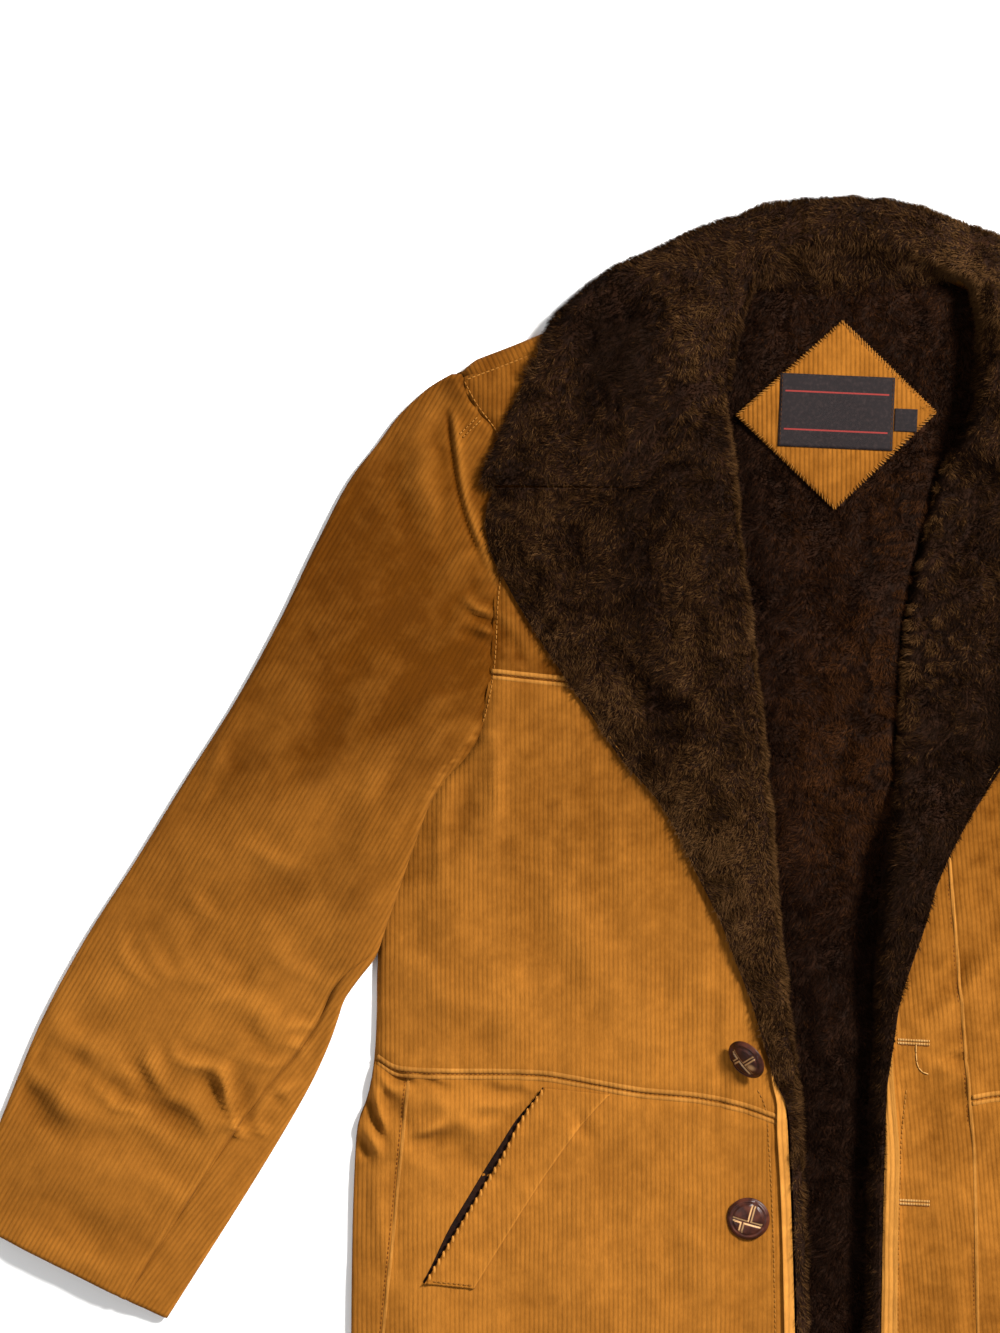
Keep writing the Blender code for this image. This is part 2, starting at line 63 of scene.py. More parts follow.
BODY = [
    Edge(-407, 322), Edge(-211, 318), Edge(-198, 316), Edge(-185, 311), Edge(-172, 308), Edge(-158, 306), Edge(-132, 304.5),
    Edge(-100, 304), Edge(2, 294), Edge(27, 261), Edge(46, 244), Edge(63, 236.5), Edge(92, 230), Edge(149, 226),
    Edge(169, 223), Edge(208, 221), Edge(248, 225), Edge(272, 241), Edge(293, 252),
]
ROLL_LINE = [
    Pair(-407, 18, 14), Pair(-217, 24, 18), Pair(-172, 27, 19.5), Pair(-93, 37, 23), Pair(-54, 40, 25.5),
    Pair(12, 46, 34), Pair(90, 53, 39), Pair(144, 60, 44), Pair(179, 64, 52), Pair(228, 69, 65),
    Pair(250, 72, 78), Pair(290, 75, 90), Pair(320, 69, 92), Pair(356, 56, 84),
]
LAPEL_EDGE = [
    Pair(-407, 29, 24), Pair(-211, 35, 27), Pair(-188, 37.5, 29), Pair(-172, 45, 31), Pair(-145, 53, 35), Pair(-119, 61, 39),
    Pair(-93, 71, 47), Pair(-67, 81, 56), Pair(-41, 94, 64), Pair(-14, 107, 77), Pair(12, 122, 93), Pair(38, 145, 111),
    Pair(64, 163, 138), Pair(90, 181, 163), Pair(117, 199, 186), Pair(143, 215, 205), Pair(156, 222, 214), Pair(169, 229, 226),
    Pair(182, 233, 233), Pair(195, 234.5, 234.5), Pair(208, 232, 232), Pair(213, 230, 230),
]
SLEEVE_OUTER = [
    Edge(293, 252), Edge(284, 268), Edge(274, 280), Edge(264, 290), Edge(244, 305), Edge(225, 320), Edge(182, 343), Edge(130, 368),
    Edge(77, 397), Edge(25, 430), Edge(-27, 462), Edge(-80, 496), Edge(-132, 524), Edge(-185, 546), Edge(-262, 576),
]
SLEEVE_INNER = [
    Edge(27, 261), Edge(9, 269), Edge(-18, 279), Edge(-73, 298), Edge(-92, 305), Edge(-106, 316), Edge(-119, 325), Edge(-132, 329.5),
    Edge(-145, 334), Edge(-172, 346), Edge(-211, 368), Edge(-329, 442),
]
FOREARM_SEAM = [Edge(-329, 30), Edge(-210, 27), Edge(-188, 24), Edge(-149, 14), Edge(-117, 10), Edge(300, 10)]
YOKE_SEAM = [Spot(230, 93), Spot(181, 88), Spot(50, 80)]
WAIST_SEAM = [Spot(305, -159), Spot(294, -166), Spot(283, -168), Spot(196, -170), Spot(177, -173), Spot(150, -178), Spot(132, -181),
              Spot(92, -185), Spot(64, -191), Spot(40, -199), Spot(8, -203)]
SHOULDER = [Spot(252, 292), Spot(191, 316), Spot(87, 366), Spot(0, 408)]
GORGE = Spot(130.5, 215.8)

Collar = namedtuple("Collar", "y right left high bend_out bend_y edge_out edge_y under fold top")
COLLAR_ROWS = [
    Collar(281, 75.0, 88.5, 25.0, 131, 216.4, 231, 214.6, 3, 0.0, 18.4),
    Collar(291, 75.0, 90, 26.0, 136, 234.0, 235, 223, 3, 0.0, 19.4),
    Collar(304, 73.0, 91, 27.0, 140, 270.0, 222, 254, 3, 0.0, 19.5),
    Collar(320, 69.0, 92, 27.5, 138, 305.0, 205, 293, 3, 0.0, 20.0),
    Collar(335, 63.5, 90, 27.5, 130, 328.0, 190, 322, 3, 0.5, 20.5),
    Collar(350, 58.0, 85, 27.0, 112, 349.0, 161, 351, 3, 1.0, 21.0),
    Collar(361, 47.0, 68, 26.0, 86, 363.0, 123, 371, 4, 1.0, 21.0),
    Collar(371, 32.0, 42, 25.0, 53, 377.5, 75.5, 391, 8, 1.0, 21.0),
    Collar(377, 16.0, 19, 24.0, 26, 386.0, 38, 402, 22, 1.0, 21.0),
    Collar(378, 0.0, 0, 23.5, 0, 389.0, 0, 405, 26, 1.0, 21.0),
]

# soft creases: a ridge (or, with a height below 0, a trough) between two points, bowed to one side, with a shallower trough beside it
Crease = namedtuple("Crease", "out_0 y_0 out_1 y_1 width height bow")
SLEEVE_CREASES = [
    # the crook of the arm: drags fan out from the forearm seam
    Crease(456, -150, 440, -178, 4.6, 2.6, 1), Crease(434, -157, 404, -167, 3.8, 4.6, 1), Crease(407, -164, 396, -198, 3.6, 5.6, 1), Crease(397, -195, 388, -207, 3.4, 4.0, 0),
    Crease(418, -169, 403, -190, 5.2, -3.6, 1), Crease(392, -176, 382, -196, 4.0, -2.8, 1), Crease(514, -130, 484, -152, 8, 3.2, 2), Crease(472, -160, 456, -172, 4.4, 2.0, 1),
    Crease(486, -180, 455, -196, 4.5, 4.6, 2), Crease(536, -170, 510, -208, 9, -4.8, 3), Crease(452, -182, 428, -206, 7, -4.0, 2), Crease(540, -150, 520, -180, 7, 2.6, 3),
    Crease(380, -196, 372, -206, 3.5, 3.6, 1), Crease(390, -208, 410, -196, 4, 2.6, 2), Crease(420, -206, 440, -190, 5, -3.2, 2),
    Crease(352, -150, 446, -92, 8, 2.2, 5), Crease(368, -160, 392, -156, 4, 2.6, -2), Crease(378, -150, 400, -134, 4.5, -2.2, 2),
    Crease(438, -214, 520, -190, 7, 2.6, 4), Crease(330, -112, 378, -78, 6, 2.0, -4), Crease(345, -138, 366, -140, 3.5, 2.8, 2),
    Crease(352, -158, 370, -150, 3.2, 2.6, 2), Crease(358, -172, 380, -186, 3.2, 2.6, 2), Crease(364, -190, 380, -178, 3.2, -2.6, 2),
    Crease(470, -90, 530, -140, 11, 2.4, -6), Crease(500, -140, 486, -172, 8, -2.6, 4), Crease(462, -160, 440, -180, 5, -2.8, 2),
    Crease(475, -80, 452, -106, 5, 2.2, 2), Crease(426, -47, 408, -64, 5, 2.0, 2), Crease(394, -18, 354, -31, 6, 1.8, 3),
    Crease(407, 46, 421, 10, 5, 1.8, -3), Crease(448, -70, 430, -96, 6, -1.8, 2), Crease(420, -84, 396, -100, 5, 1.8, 2),
    Crease(398, -118, 424, -126, 5, 2.0, 2), Crease(376, -96, 394, -112, 5, -1.8, 2), Crease(340, -58, 366, -70, 6, 1.6, 2),
    # long soft hollows down the upper arm
    Crease(300, 62, 372, 4, 17, -2.0, 8), Crease(330, 120, 420, -10, 20, 2.0, 10), Crease(282, 150, 352, 40, 18, -2.0, 8),
    Crease(372, 96, 446, -40, 16, -1.8, -8), Crease(298, 96, 330, 34, 12, 1.8, 5), Crease(268, 60, 320, 26, 10, 2.2, 6),
    Crease(395, 6, 470, -60, 14, 1.8, 6), Crease(330, 30, 400, -52, 18, 1.8, 8), Crease(325, -30, 420, -70, 14, -1.8, 6),
    Crease(396, 66, 404, 26, 6, 1.6, 4), Crease(300, 36, 316, 10, 5, 1.6, 2), Crease(270, 24, 300, -20, 7, 2.0, 4),
    Crease(288, -30, 330, -66, 8, -1.8, 4), Crease(350, -20, 380, -44, 7, 1.4, 3), Crease(262, 98, 296, 70, 8, -2.0, 3),
    # head of the sleeve
    Crease(268, 252, 258, 190, 6, -1.2, -3), Crease(246, 146, 229, 134, 2.8, 3.4, 1), Crease(244, 138, 229, 128, 2.8, -2.6, 1), Crease(240, 128, 228, 120, 2.6, 2.6, 1), Crease(250, 122, 229, 110, 3.4, -2.2, 1),
    Crease(282, 258, 266, 200, 9, 1.8, -3), Crease(300, 240, 282, 178, 10, -1.6, -3), Crease(242, 174, 262, 160, 4, 1.8, 2),
    Crease(236, 156, 258, 136, 4, -1.6, 2), Crease(234, 138, 262, 118, 4, 1.8, 2), Crease(240, 112, 268, 96, 6, -1.6, 2),
    Crease(244, 84, 274, 66, 5, 1.6, 2), Crease(252, 60, 282, 40, 5, 1.8, 2), Crease(262, 276, 280, 252, 6, 1.4, 2),
    # toward the cuff
    Crease(430, -250, 520, -214, 10, 2.4, 5), Crease(446, -290, 540, -244, 11, -2.2, 5), Crease(470, -300, 560, -270, 9, 1.8, 4),
]
# painted shade: fibres on a parting take the darkest tones, besides being cut shorter
Parting = namedtuple("Parting", "x_0 y_0 x_1 y_1 width")       # where bent pile opens in a dark line
PARTINGS = [
    Parting(-72, 306, -106, 266, 1.5), Parting(-106, 266, -143, 222, 1.7), Parting(-84, 300, -118, 262, 1.2), Parting(-118, 262, -150, 228, 1.3),
    Parting(-96, 262, -126, 226, 1.2), Parting(-118, 213, -140, 188, 1.3), Parting(-104, 206, -122, 182, 1.2),
    Parting(80, 247, 62, 229, 1.6), Parting(62, 229, 56, 212, 1.6), Parting(75, 222, 54, 194, 1.6), Parting(54, 194, 45, 166, 1.6),
    Parting(98, 233, 78, 206, 1.5), Parting(78, 206, 66, 182, 1.5), Parting(62, 182, 46, 143, 1.5), Parting(74, 190, 58, 150, 1.4),
    Parting(90, 210, 74, 170, 1.4), Parting(110, 222, 94, 196, 1.3), Parting(92, 268, 80, 250, 1.4), Parting(60, 140, 50, 104, 1.3),
]
BAND_FOLDS = [                 # only on the wearer's left front
    Crease(112, -46, 58, -130, 9, -1.5, 3), Crease(96, -106, 46, -142, 6, 3.2, 2), Crease(100, -86, 70, -122, 5, 1.8, 2), Crease(64, -153, 83, -155, 2.6, -2.4, 0),
    Crease(62, -160, 90, -178, 6, 1.8, 2), Crease(52, -172, 62, -230, 6, -1.6, 2), Crease(108, -150, 96, -190, 6, -1.8, 2),
]
HEAD_FOLD = [Spot(258.5, 272), Spot(256.5, 262), Spot(255.3, 252), Spot(253, 234), Spot(250, 215), Spot(246, 199), Spot(240.5, 183), Spot(231, 160), Spot(224, 140), Spot(216, 120)]
FRONT_CREASES = [
    Crease(229, 84, 229, -34, 6, 2.4, -2), Crease(240, 50, 244, -20, 9, -2.2, 3), Crease(262, -6, 286, -64, 9, -1.8, 4),
    Crease(254, 24, 262, -40, 6, 2.2, 3), Crease(250, 10, 276, -100, 14, -1.6, 8), Crease(300, -80, 250, -120, 12, 1.2, 5),
    Crease(202, -10, 140, -110, 16, 1.8, 10), Crease(212, -20, 160, -140, 18, -1.6, 12), Crease(285, -120, 220, -150, 12, -1.2, 5),
    Crease(150, 0, 120, -90, 14, 1.2, 5), Crease(120, -60, 92, -160, 12, -1.0, 4), Crease(230, -90, 196, -158, 14, 1.2, 6),
    Crease(228, 142, 196, 118, 5, 1.4, 3), Crease(226, 128, 200, 100, 5, -1.4, 3), Crease(236, 262, 214, 240, 7, -1.2, 3),
    Crease(240, 280, 196, 296, 9, 1.0, 3), Crease(262, -20, 282, -30, 5, 1.6, 2), Crease(268, -44, 290, -60, 5, 1.4, 2),
    Crease(214, -104, 208, -118, 4, 1.2, 1), Crease(188, -104, 196, -116, 4, 1.2, 1), Crease(78, -54, 80, -217, 4, -1.4, 2),
]
SKIRT_CREASES = [
    Crease(307.5, -176, 302, -202, 3.2, 4.0, 0), Crease(311, -183, 306, -205, 3.2, -4.4, 0), Crease(306, -169.5, 290, -182.5, 4.5, 3.4, 0),
    Crease(297, -172, 284, -176, 3.2, -3.4, 0), Crease(300, -184, 286, -198, 6, -2.4, 0), Crease(314, -201, 302, -219, 3.2, 4.2, 0),
    Crease(315, -211, 307, -224, 3.5, -3.8, 0), Crease(281, -204, 254, -199, 4.5, 3.4, -1), Crease(280, -211, 254, -208, 5, -3.4, 0),
    Crease(278, -175, 260, -177, 3.5, -3.0, 0), Crease(276, -190, 250, -190, 9, 2.0, 0), Crease(300, -226, 294, -300, 6, 2.0, 3),
    Crease(246, -188, 224, -190, 5, 2.6, 0), Crease(242, -178, 204, -181, 4, -2.2, 0), Crease(204, -186, 233, -226, 6, -2.4, 2),
    Crease(268, -180, 226, -206, 7, 2.2, 4), Crease(262, -192, 226, -236, 8, -2.0, 4), Crease(296, -205, 262, -236, 8, 1.8, 4),
    Crease(250, -176, 214, -190, 6, 1.6, 3), Crease(172, -190, 166, -206, 5, -1.6, 2), Crease(184, -196, 172, -214, 5, 1.4, 2),
    Crease(170, -220, 150, -330, 14, 1.4, 8), Crease(120, -196, 104, -320, 14, -1.2, 6), Crease(250, -290, 180, -380, 16, 1.6, 9),
    Crease(90, -220, 70, -390, 12, 1.2, 4), Crease(300, -300, 280, -400, 12, -1.6, 5), Crease(210, -330, 150, -400, 14, -1.4, 6),
]
PILE_CREASES = [               # broad waves of the collar and lapels
    Crease(150, 338, 176, 232, 13, -3.0, 6), Crease(176, 330, 200, 262, 11, 2.4, 4), Crease(118, 348, 140, 262, 14, 2.4, -4),
    Crease(96, 280, 150, 222, 9, 2.6, 3), Crease(110, 252, 170, 205, 9, -2.2, 4), Crease(206, 190, 120, 100, 16, 1.8, 8),
    Crease(180, 200, 110, 60, 15, -2.0, 8), Crease(150, 190, 84, 40, 14, 1.8, 8), Crease(110, 120, 70, -60, 12, -1.6, 5),
    Crease(60, 372, 96, 330, 12, -2.0, 4), Crease(30, 392, 60, 372, 10, 1.8, 3), Crease(84, 200, 70, 60, 8, 1.8, 4),
]


# ------------------------------------------------------------------ maths
def smooth(low, high, value):
    t = np.clip((np.asarray(value, float) - low) / (high - low), 0, 1)
    return t * t * (3 - 2 * t)


def dome(t):
    t = np.clip(t, 0, 1)
    return np.sqrt(1 - (1 - t) ** 2)


def through(points):
    xs, ys = (np.array(c, float) for c in zip(*sorted(points)))
    h, d = np.diff(xs), np.diff(ys) / np.diff(xs)
    m = np.concatenate([[d[0]], (d[:-1] + d[1:]) / 2, [d[-1]]])
    m[1:-1][d[:-1] * d[1:] <= 0] = 0
    for i in range(len(d)):
        top = 3 * abs(d[i])
        m[i], m[i + 1] = (math.copysign(min(abs(k), top), k) for k in (m[i], m[i + 1]))

    def at(x):
        x = np.asarray(x, float)
        i = np.clip(np.searchsorted(xs, x) - 1, 0, len(h) - 1)
        t = np.clip((x - xs[i]) / h[i], 0, 1)
        return (ys[i] * (1 + 2 * t) * (1 - t) ** 2 + h[i] * m[i] * t * (1 - t) ** 2
                + ys[i + 1] * t * t * (3 - 2 * t) + h[i] * m[i + 1] * t * t * (t - 1))

    return at


def resample(points, fractions):
    p = np.array(points, float)
    run = np.concatenate([[0], np.cumsum(np.linalg.norm(np.diff(p, axis=0), axis=1))])
    return np.stack([np.interp(np.asarray(fractions) * run[-1], run, p[:, k]) for k in range(p.shape[1])], -1)


LATTICES = {}


def noise(x, y, size, seed):
    """Smooth value noise from -1 to 1, with features of about this size."""
    if seed not in LATTICES:
        LATTICES[seed] = np.random.default_rng(1000 + seed).uniform(-1, 1, (128, 128))
    g = LATTICES[seed]
    x, y = np.asarray(x) / size + 40.3, np.asarray(y) / size + 40.7
    i, j = np.floor(x).astype(int), np.floor(y).astype(int)
    fx, fy = x - i, y - j
    fx, fy = fx * fx * (3 - 2 * fx), fy * fy * (3 - 2 * fy)
    i0, j0, i1, j1 = i % 128, j % 128, (i + 1) % 128, (j + 1) % 128
    return (g[i0, j0] * (1 - fx) + g[i1, j0] * fx) * (1 - fy) + (g[i0, j1] * (1 - fx) + g[i1, j1] * fx) * fy


def creases(table, out, y, side):
    """Height of all the creases at points. The wearer's left differs a little from the right, as cloth does."""
    out, y = out + 4.0 * noise(out, y, 26, 90) + 1.6 * noise(out, y, 9, 91), y + 4.0 * noise(out, y, 26, 92) + 1.6 * noise(out, y, 9, 93)
    total = np.zeros(np.broadcast(out, y).shape)
    for k, c in enumerate(table):
        grow = 1.0 if side < 0 else 0.75 + 0.4 * ((k * 7) % 5) / 4
        shift = 0.0 if side < 0 else ((k * 5) % 7 - 3) * 2.0
        ax, ay, bx, by = c.out_0 + shift, c.y_0 - shift, c.out_1 + shift, c.y_1 - shift
        length = math.hypot(bx - ax, by - ay)
        ux, uy = (bx - ax) / length, (by - ay) / length
        bow = c.bow
        if -uy * 0.795 * side + ux * 0.606 < 0:      # the steeper fall is toward the collar and the wearer's left
            ax, ay, ux, uy, bow = bx, by, -ux, -uy, -bow
        t = ((out - ax) * ux + (y - ay) * uy) / length
        away = (out - ax) * -uy + (y - ay) * ux - bow * 4 * t * (1 - t)
        fade = np.exp(-np.clip(-t, 0, None) ** 2 * (length / c.width) ** 2) * np.exp(-np.clip(t - 1, 0, None) ** 2 * (length / c.width) ** 2)
        fade = fade * (0.35 + 0.65 * np.sin(np.pi * np.clip(t, 0, 1)))
        wide = c.width * (0.8 + 0.4 * np.clip(t, 0, 1))
        total += grow * c.height * fade * (np.exp(-(away / wide) ** 2) - 0.4 * np.exp(-((away - 1.7 * wide) / (1.2 * wide)) ** 2))
    return total


body_out = through([(e.y, e.out) for e in BODY])
sleeve_in = through([(e.y, e.out) for e in SLEEVE_INNER])
sleeve_out = through([(e.y, e.out) for e in SLEEVE_OUTER])
seam_in = through([(e.y, e.out) for e in FOREARM_SEAM])
roll_out = {-1: through([(p.y, p.right) for p in ROLL_LINE]), 1: through([(p.y, p.left) for p in ROLL_LINE])}
lapel_out = {-1: through([(p.y, p.right) for p in LAPEL_EDGE]), 1: through([(p.y, p.left) for p in LAPEL_EDGE])}
fold_out = through([(s.y, s.out) for s in HEAD_FOLD][::-1])
yoke_y = through([(s.out, s.y) for s in YOKE_SEAM])
waist_y = through([(s.out, s.y) for s in WAIST_SEAM])
shoulder_y = through([(s.out, s.y) for s in SHOULDER])


def front_out(y):
    return np.where(y < 60, np.minimum(body_out(y), sleeve_in(y) + 9.0 * smooth(36, 8, y)), body_out(y))


def front_low(out, y):
    side = dome((front_out(y) - out) / 62)
    side = side + (1 - side) * smooth(24, 80, y)
    return LINING_LOW + (FRONT_LOW - LINING_LOW) * side * dome((shoulder_y(out) - y) / 18)


def band_out(y):
    """Where the front band of the wearer's left front is sewn."""
    return 71 + 0.085 * np.clip(-38 - y, -60, 182) + 0.02 * np.clip(-220 - y, 0, None)


def seam_dip(out, y, side):
    """The cloth pulls down a little into each sewn seam, and puffs beside it."""
    dips = np.zeros(np.broadcast(out, y).shape)
    for line, deep, wide in ((yoke_y(out), 0.9, 4.0), (waist_y(out), 1.0, 4.5)):
        away = np.abs(y - line)
        sewn = smooth(-3, 3, out - band_out(y)) if side > 0 and wide == 4.5 else 1.0
        dips += sewn * (-deep * np.exp(-(away / wide) ** 2) + 0.35 * deep * np.exp(-((away - 10) / 7) ** 2))
    if side > 0:
        dips += -0.9 * np.exp(-((out - band_out(y) + 1.6) / 2.6) ** 2) * smooth(20, -20, y)
    arm = body_out(y) - out
    return dips + np.where(y > 30, -1.6 * np.exp(-(arm / 4.0) ** 2) + 0.5 * np.exp(-((arm - 11) / 7) ** 2), 0.0)


def pucker(along, away, pitch, height, reach):
    """Small gathers across a seam."""
    phase = along / pitch + 0.35 * noise(along, along * 0, pitch * 3, 3)
    return height * np.sin(2 * np.pi * phase) * (0.6 + 0.4 * noise(along, away, pitch * 2.2, 4)) * np.exp(-(np.abs(away) / reach))


def front_wave(out, y, side):
    edge = lapel_out[side](np.clip(y, -400, 205))
    clear = smooth(0, 14, out - edge) if np.ndim(out) else 1.0        # flat where the lapel lies on it
    clear = np.where(y > 210, smooth(-8, 8, out - (236 - 0.36 * (y - 225))), clear)
    h = creases(FRONT_CREASES, out, y, side) + creases(SKIRT_CREASES, out, y, side) + 0.7 * noise(out, y, 42, 5) + 0.35 * noise(out, y, 17, 6)
    if side > 0:
        h = h + creases(BAND_FOLDS, out, y, -1)
    h = h + pucker(out, y - waist_y(out), 17, 0.55, 9) + pucker(out, y - yoke_y(out), 21, 0.35, 7)
    h = h + np.where(y > 30, pucker(y, body_out(y) - out, 13, 0.9, 9), 0)
    return np.clip(h, -3.5, 4.5) * (0.15 + 0.85 * clear) + seam_dip(out, y, side)


# ------------------------------------------------------------------ mesh makers
def build(name, verts, quads, look, uv=None, slots=None, crest=None):
    me = bpy.data.meshes.new(name)
    me.vertices.add(len(verts))
    me.vertices.foreach_set("co", (np.asarray(verts, np.float32) * MM).ravel())
    me.loops.add(quads.size)
    me.loops.foreach_set("vertex_index", quads.astype(np.int32).ravel())
    me.polygons.add(len(quads))
    me.polygons.foreach_set("loop_start", np.arange(0, quads.size, quads.shape[1], dtype=np.int32))
    for m in look if isinstance(look, (list, tuple)) else [look]:
        me.materials.append(m)
    if slots is not None:
        me.polygons.foreach_set("material_index", slots.astype(np.int32))
    me.polygons.foreach_set("use_smooth", np.ones(len(quads), bool))
    me.update(calc_edges=True)
    if uv is not None:
        layer = me.uv_layers.new(name="cut")
        layer.uv.foreach_set("vector", (np.asarray(uv, np.float32)[quads.ravel()] * MM).ravel())
    if crest is not None:
        me.attributes.new("crest", "FLOAT", "POINT").data.foreach_set("value", np.asarray(crest, np.float32).ravel())
    me.validate()
    made = bpy.data.objects.new(name, me)
    bpy.context.scene.collection.objects.link(made)
    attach(made, "root")
    return made


def grid_quads(rows, columns, start=0):
    k = np.arange(rows * columns).reshape(rows, columns) + start
    return np.stack([k[:-1, :-1], k[:-1, 1:], k[1:, 1:], k[1:, :-1]], -1).reshape(-1, 4)


def slab(name, top, low, look, uv=None, crest=None):
    """A closed wall between two grids of points."""
    rows, columns = top.shape[:2]
    n = rows * columns
    verts = np.concatenate([top.reshape(-1, 3), low.reshape(-1, 3)])
    upper = grid_quads(rows, columns)
    k = np.arange(n).reshape(rows, columns)
    ring = np.concatenate([k[0, :-1], k[:-1, -1], k[-1, :0:-1], k[:0:-1, 0]])
    nxt = np.roll(ring, -1)
    quads = np.concatenate([upper, upper[:, ::-1] + n, np.stack([nxt, ring, ring + n, nxt + n], -1)])
    a, b, c, d = (verts[quads[:, i]] for i in range(4))
    centre = verts.mean(0)
    volume = np.einsum("ij,ij->i", a - centre, np.cross(b - centre, c - centre)).sum() + np.einsum("ij,ij->i", a - centre, np.cross(c - centre, d - centre)).sum()
    if volume < 0:
        quads = quads[:, ::-1]
    flat = None if uv is None else np.concatenate([uv.reshape(-1, 2)] * 2)
    return build(name, verts, quads, look, flat, crest=None if crest is None else np.concatenate([crest.ravel()] * 2))


def normals_of(grid):
    n = np.cross(np.gradient(grid, axis=1), np.gradient(grid, axis=0))
    return n / np.maximum(np.linalg.norm(n, axis=2), 1e-9)[:, :, None]


def plan_slab(name, x, y, low, high, look, uv=None, crest=None):
    top, bottom = np.stack([x, y, high], -1), np.stack([x, y, low], -1)
    return slab(name, top, bottom, look, np.stack([x, y], -1) if uv is None else uv, crest)


def declare(node=None):
    if node:
        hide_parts(node)


# ------------------------------------------------------------------ materials
class Nodes:
    """A short way to write node trees."""

    def __init__(self, name):
        self.mat = bpy.data.materials.new(name)
        self.mat.use_nodes = True
        self.tree = self.mat.node_tree
        self.shader = self.tree.nodes["Principled BSDF"]

    def new(self, kind, **settings):
        node = self.tree.nodes.new("ShaderNode" + kind)
        for key, value in settings.items():
            if hasattr(node, key):
                setattr(node, key, value)
            else:
                self.put(node.inputs[key.replace("_", " ")], value)
        return node

    def put(self, socket, value):
        if hasattr(value, "is_output"):
            self.tree.links.new(value, socket)
        else:
            socket.default_value = value

    def maths(self, operation, a, b=0.0, c=0.0):
        node = self.tree.nodes.new("ShaderNodeMath")
        node.operation = operation
        for socket, value in zip(node.inputs, (a, b, c)):
            self.put(socket, value)
        return node.outputs[0]

    def noise(self, vector, scale, detail=2.0, rough=0.5):
        node = self.tree.nodes.new("ShaderNodeTexNoise")
        self.put(node.inputs["Vector"], vector)
        node.inputs["Scale"].default_value = scale
        node.inputs["Detail"].default_value = detail
        node.inputs["Roughness"].default_value = rough
        return node.outputs["Fac"]

    def ramp(self, value, low, high, out_low=0.0, out_high=1.0):
        node = self.tree.nodes.new("ShaderNodeMapRange")
        node.interpolation_type = "SMOOTHSTEP"
        for key, v in (("Value", value), ("From Min", low), ("From Max", high), ("To Min", out_low), ("To Max", out_high)):
            self.put(node.inputs[key], v)
        return node.outputs["Result"]

    def mix(self, factor, a, b, blend="MIX"):
        node = self.tree.nodes.new("ShaderNodeMix")
        node.data_type, node.blend_type, node.clamp_factor = "RGBA", blend, False
        self.put(node.inputs[0], factor)
        self.put(node.inputs[6], a)
        self.put(node.inputs[7], b)
        return node.outputs[2]

    def bump(self, height, distance, strength=1.0, normal=None):
        node = self.tree.nodes.new("ShaderNodeBump")
        node.inputs["Strength"].default_value = strength
        node.inputs["Distance"].default_value = distance
        self.put(node.inputs["Height"], height)
        if normal is not None:
            self.put(node.inputs["Normal"], normal)
        return node.outputs["Normal"]

    def joined(self, x, y, z=0.0):
        node = self.tree.nodes.new("ShaderNodeCombineXYZ")
        for socket, value in zip(node.inputs, (x, y, z)):
            self.put(socket, value)
        return node.outputs[0]


def rgb(r, g, b):
    """sRGB, 0 to 255, as linear."""
    return tuple((c / 255 / 12.92 if c <= 10 else ((c / 255 + 0.055) / 1.055) ** 2.4) for c in (r, g, b)) + (1.0,)


def dim(colour, by=0.43, green=0.94, blue=0.66):
    """A colour for the brighter light of the studio."""
    return colour[0] * by, colour[1] * by * green, colour[2] * by * blue, 1.0


NAP_DARK, NAP_LIGHT = (0.068, 0.0196, 0.0009, 1), (0.235, 0.0862, 0.0112, 1)


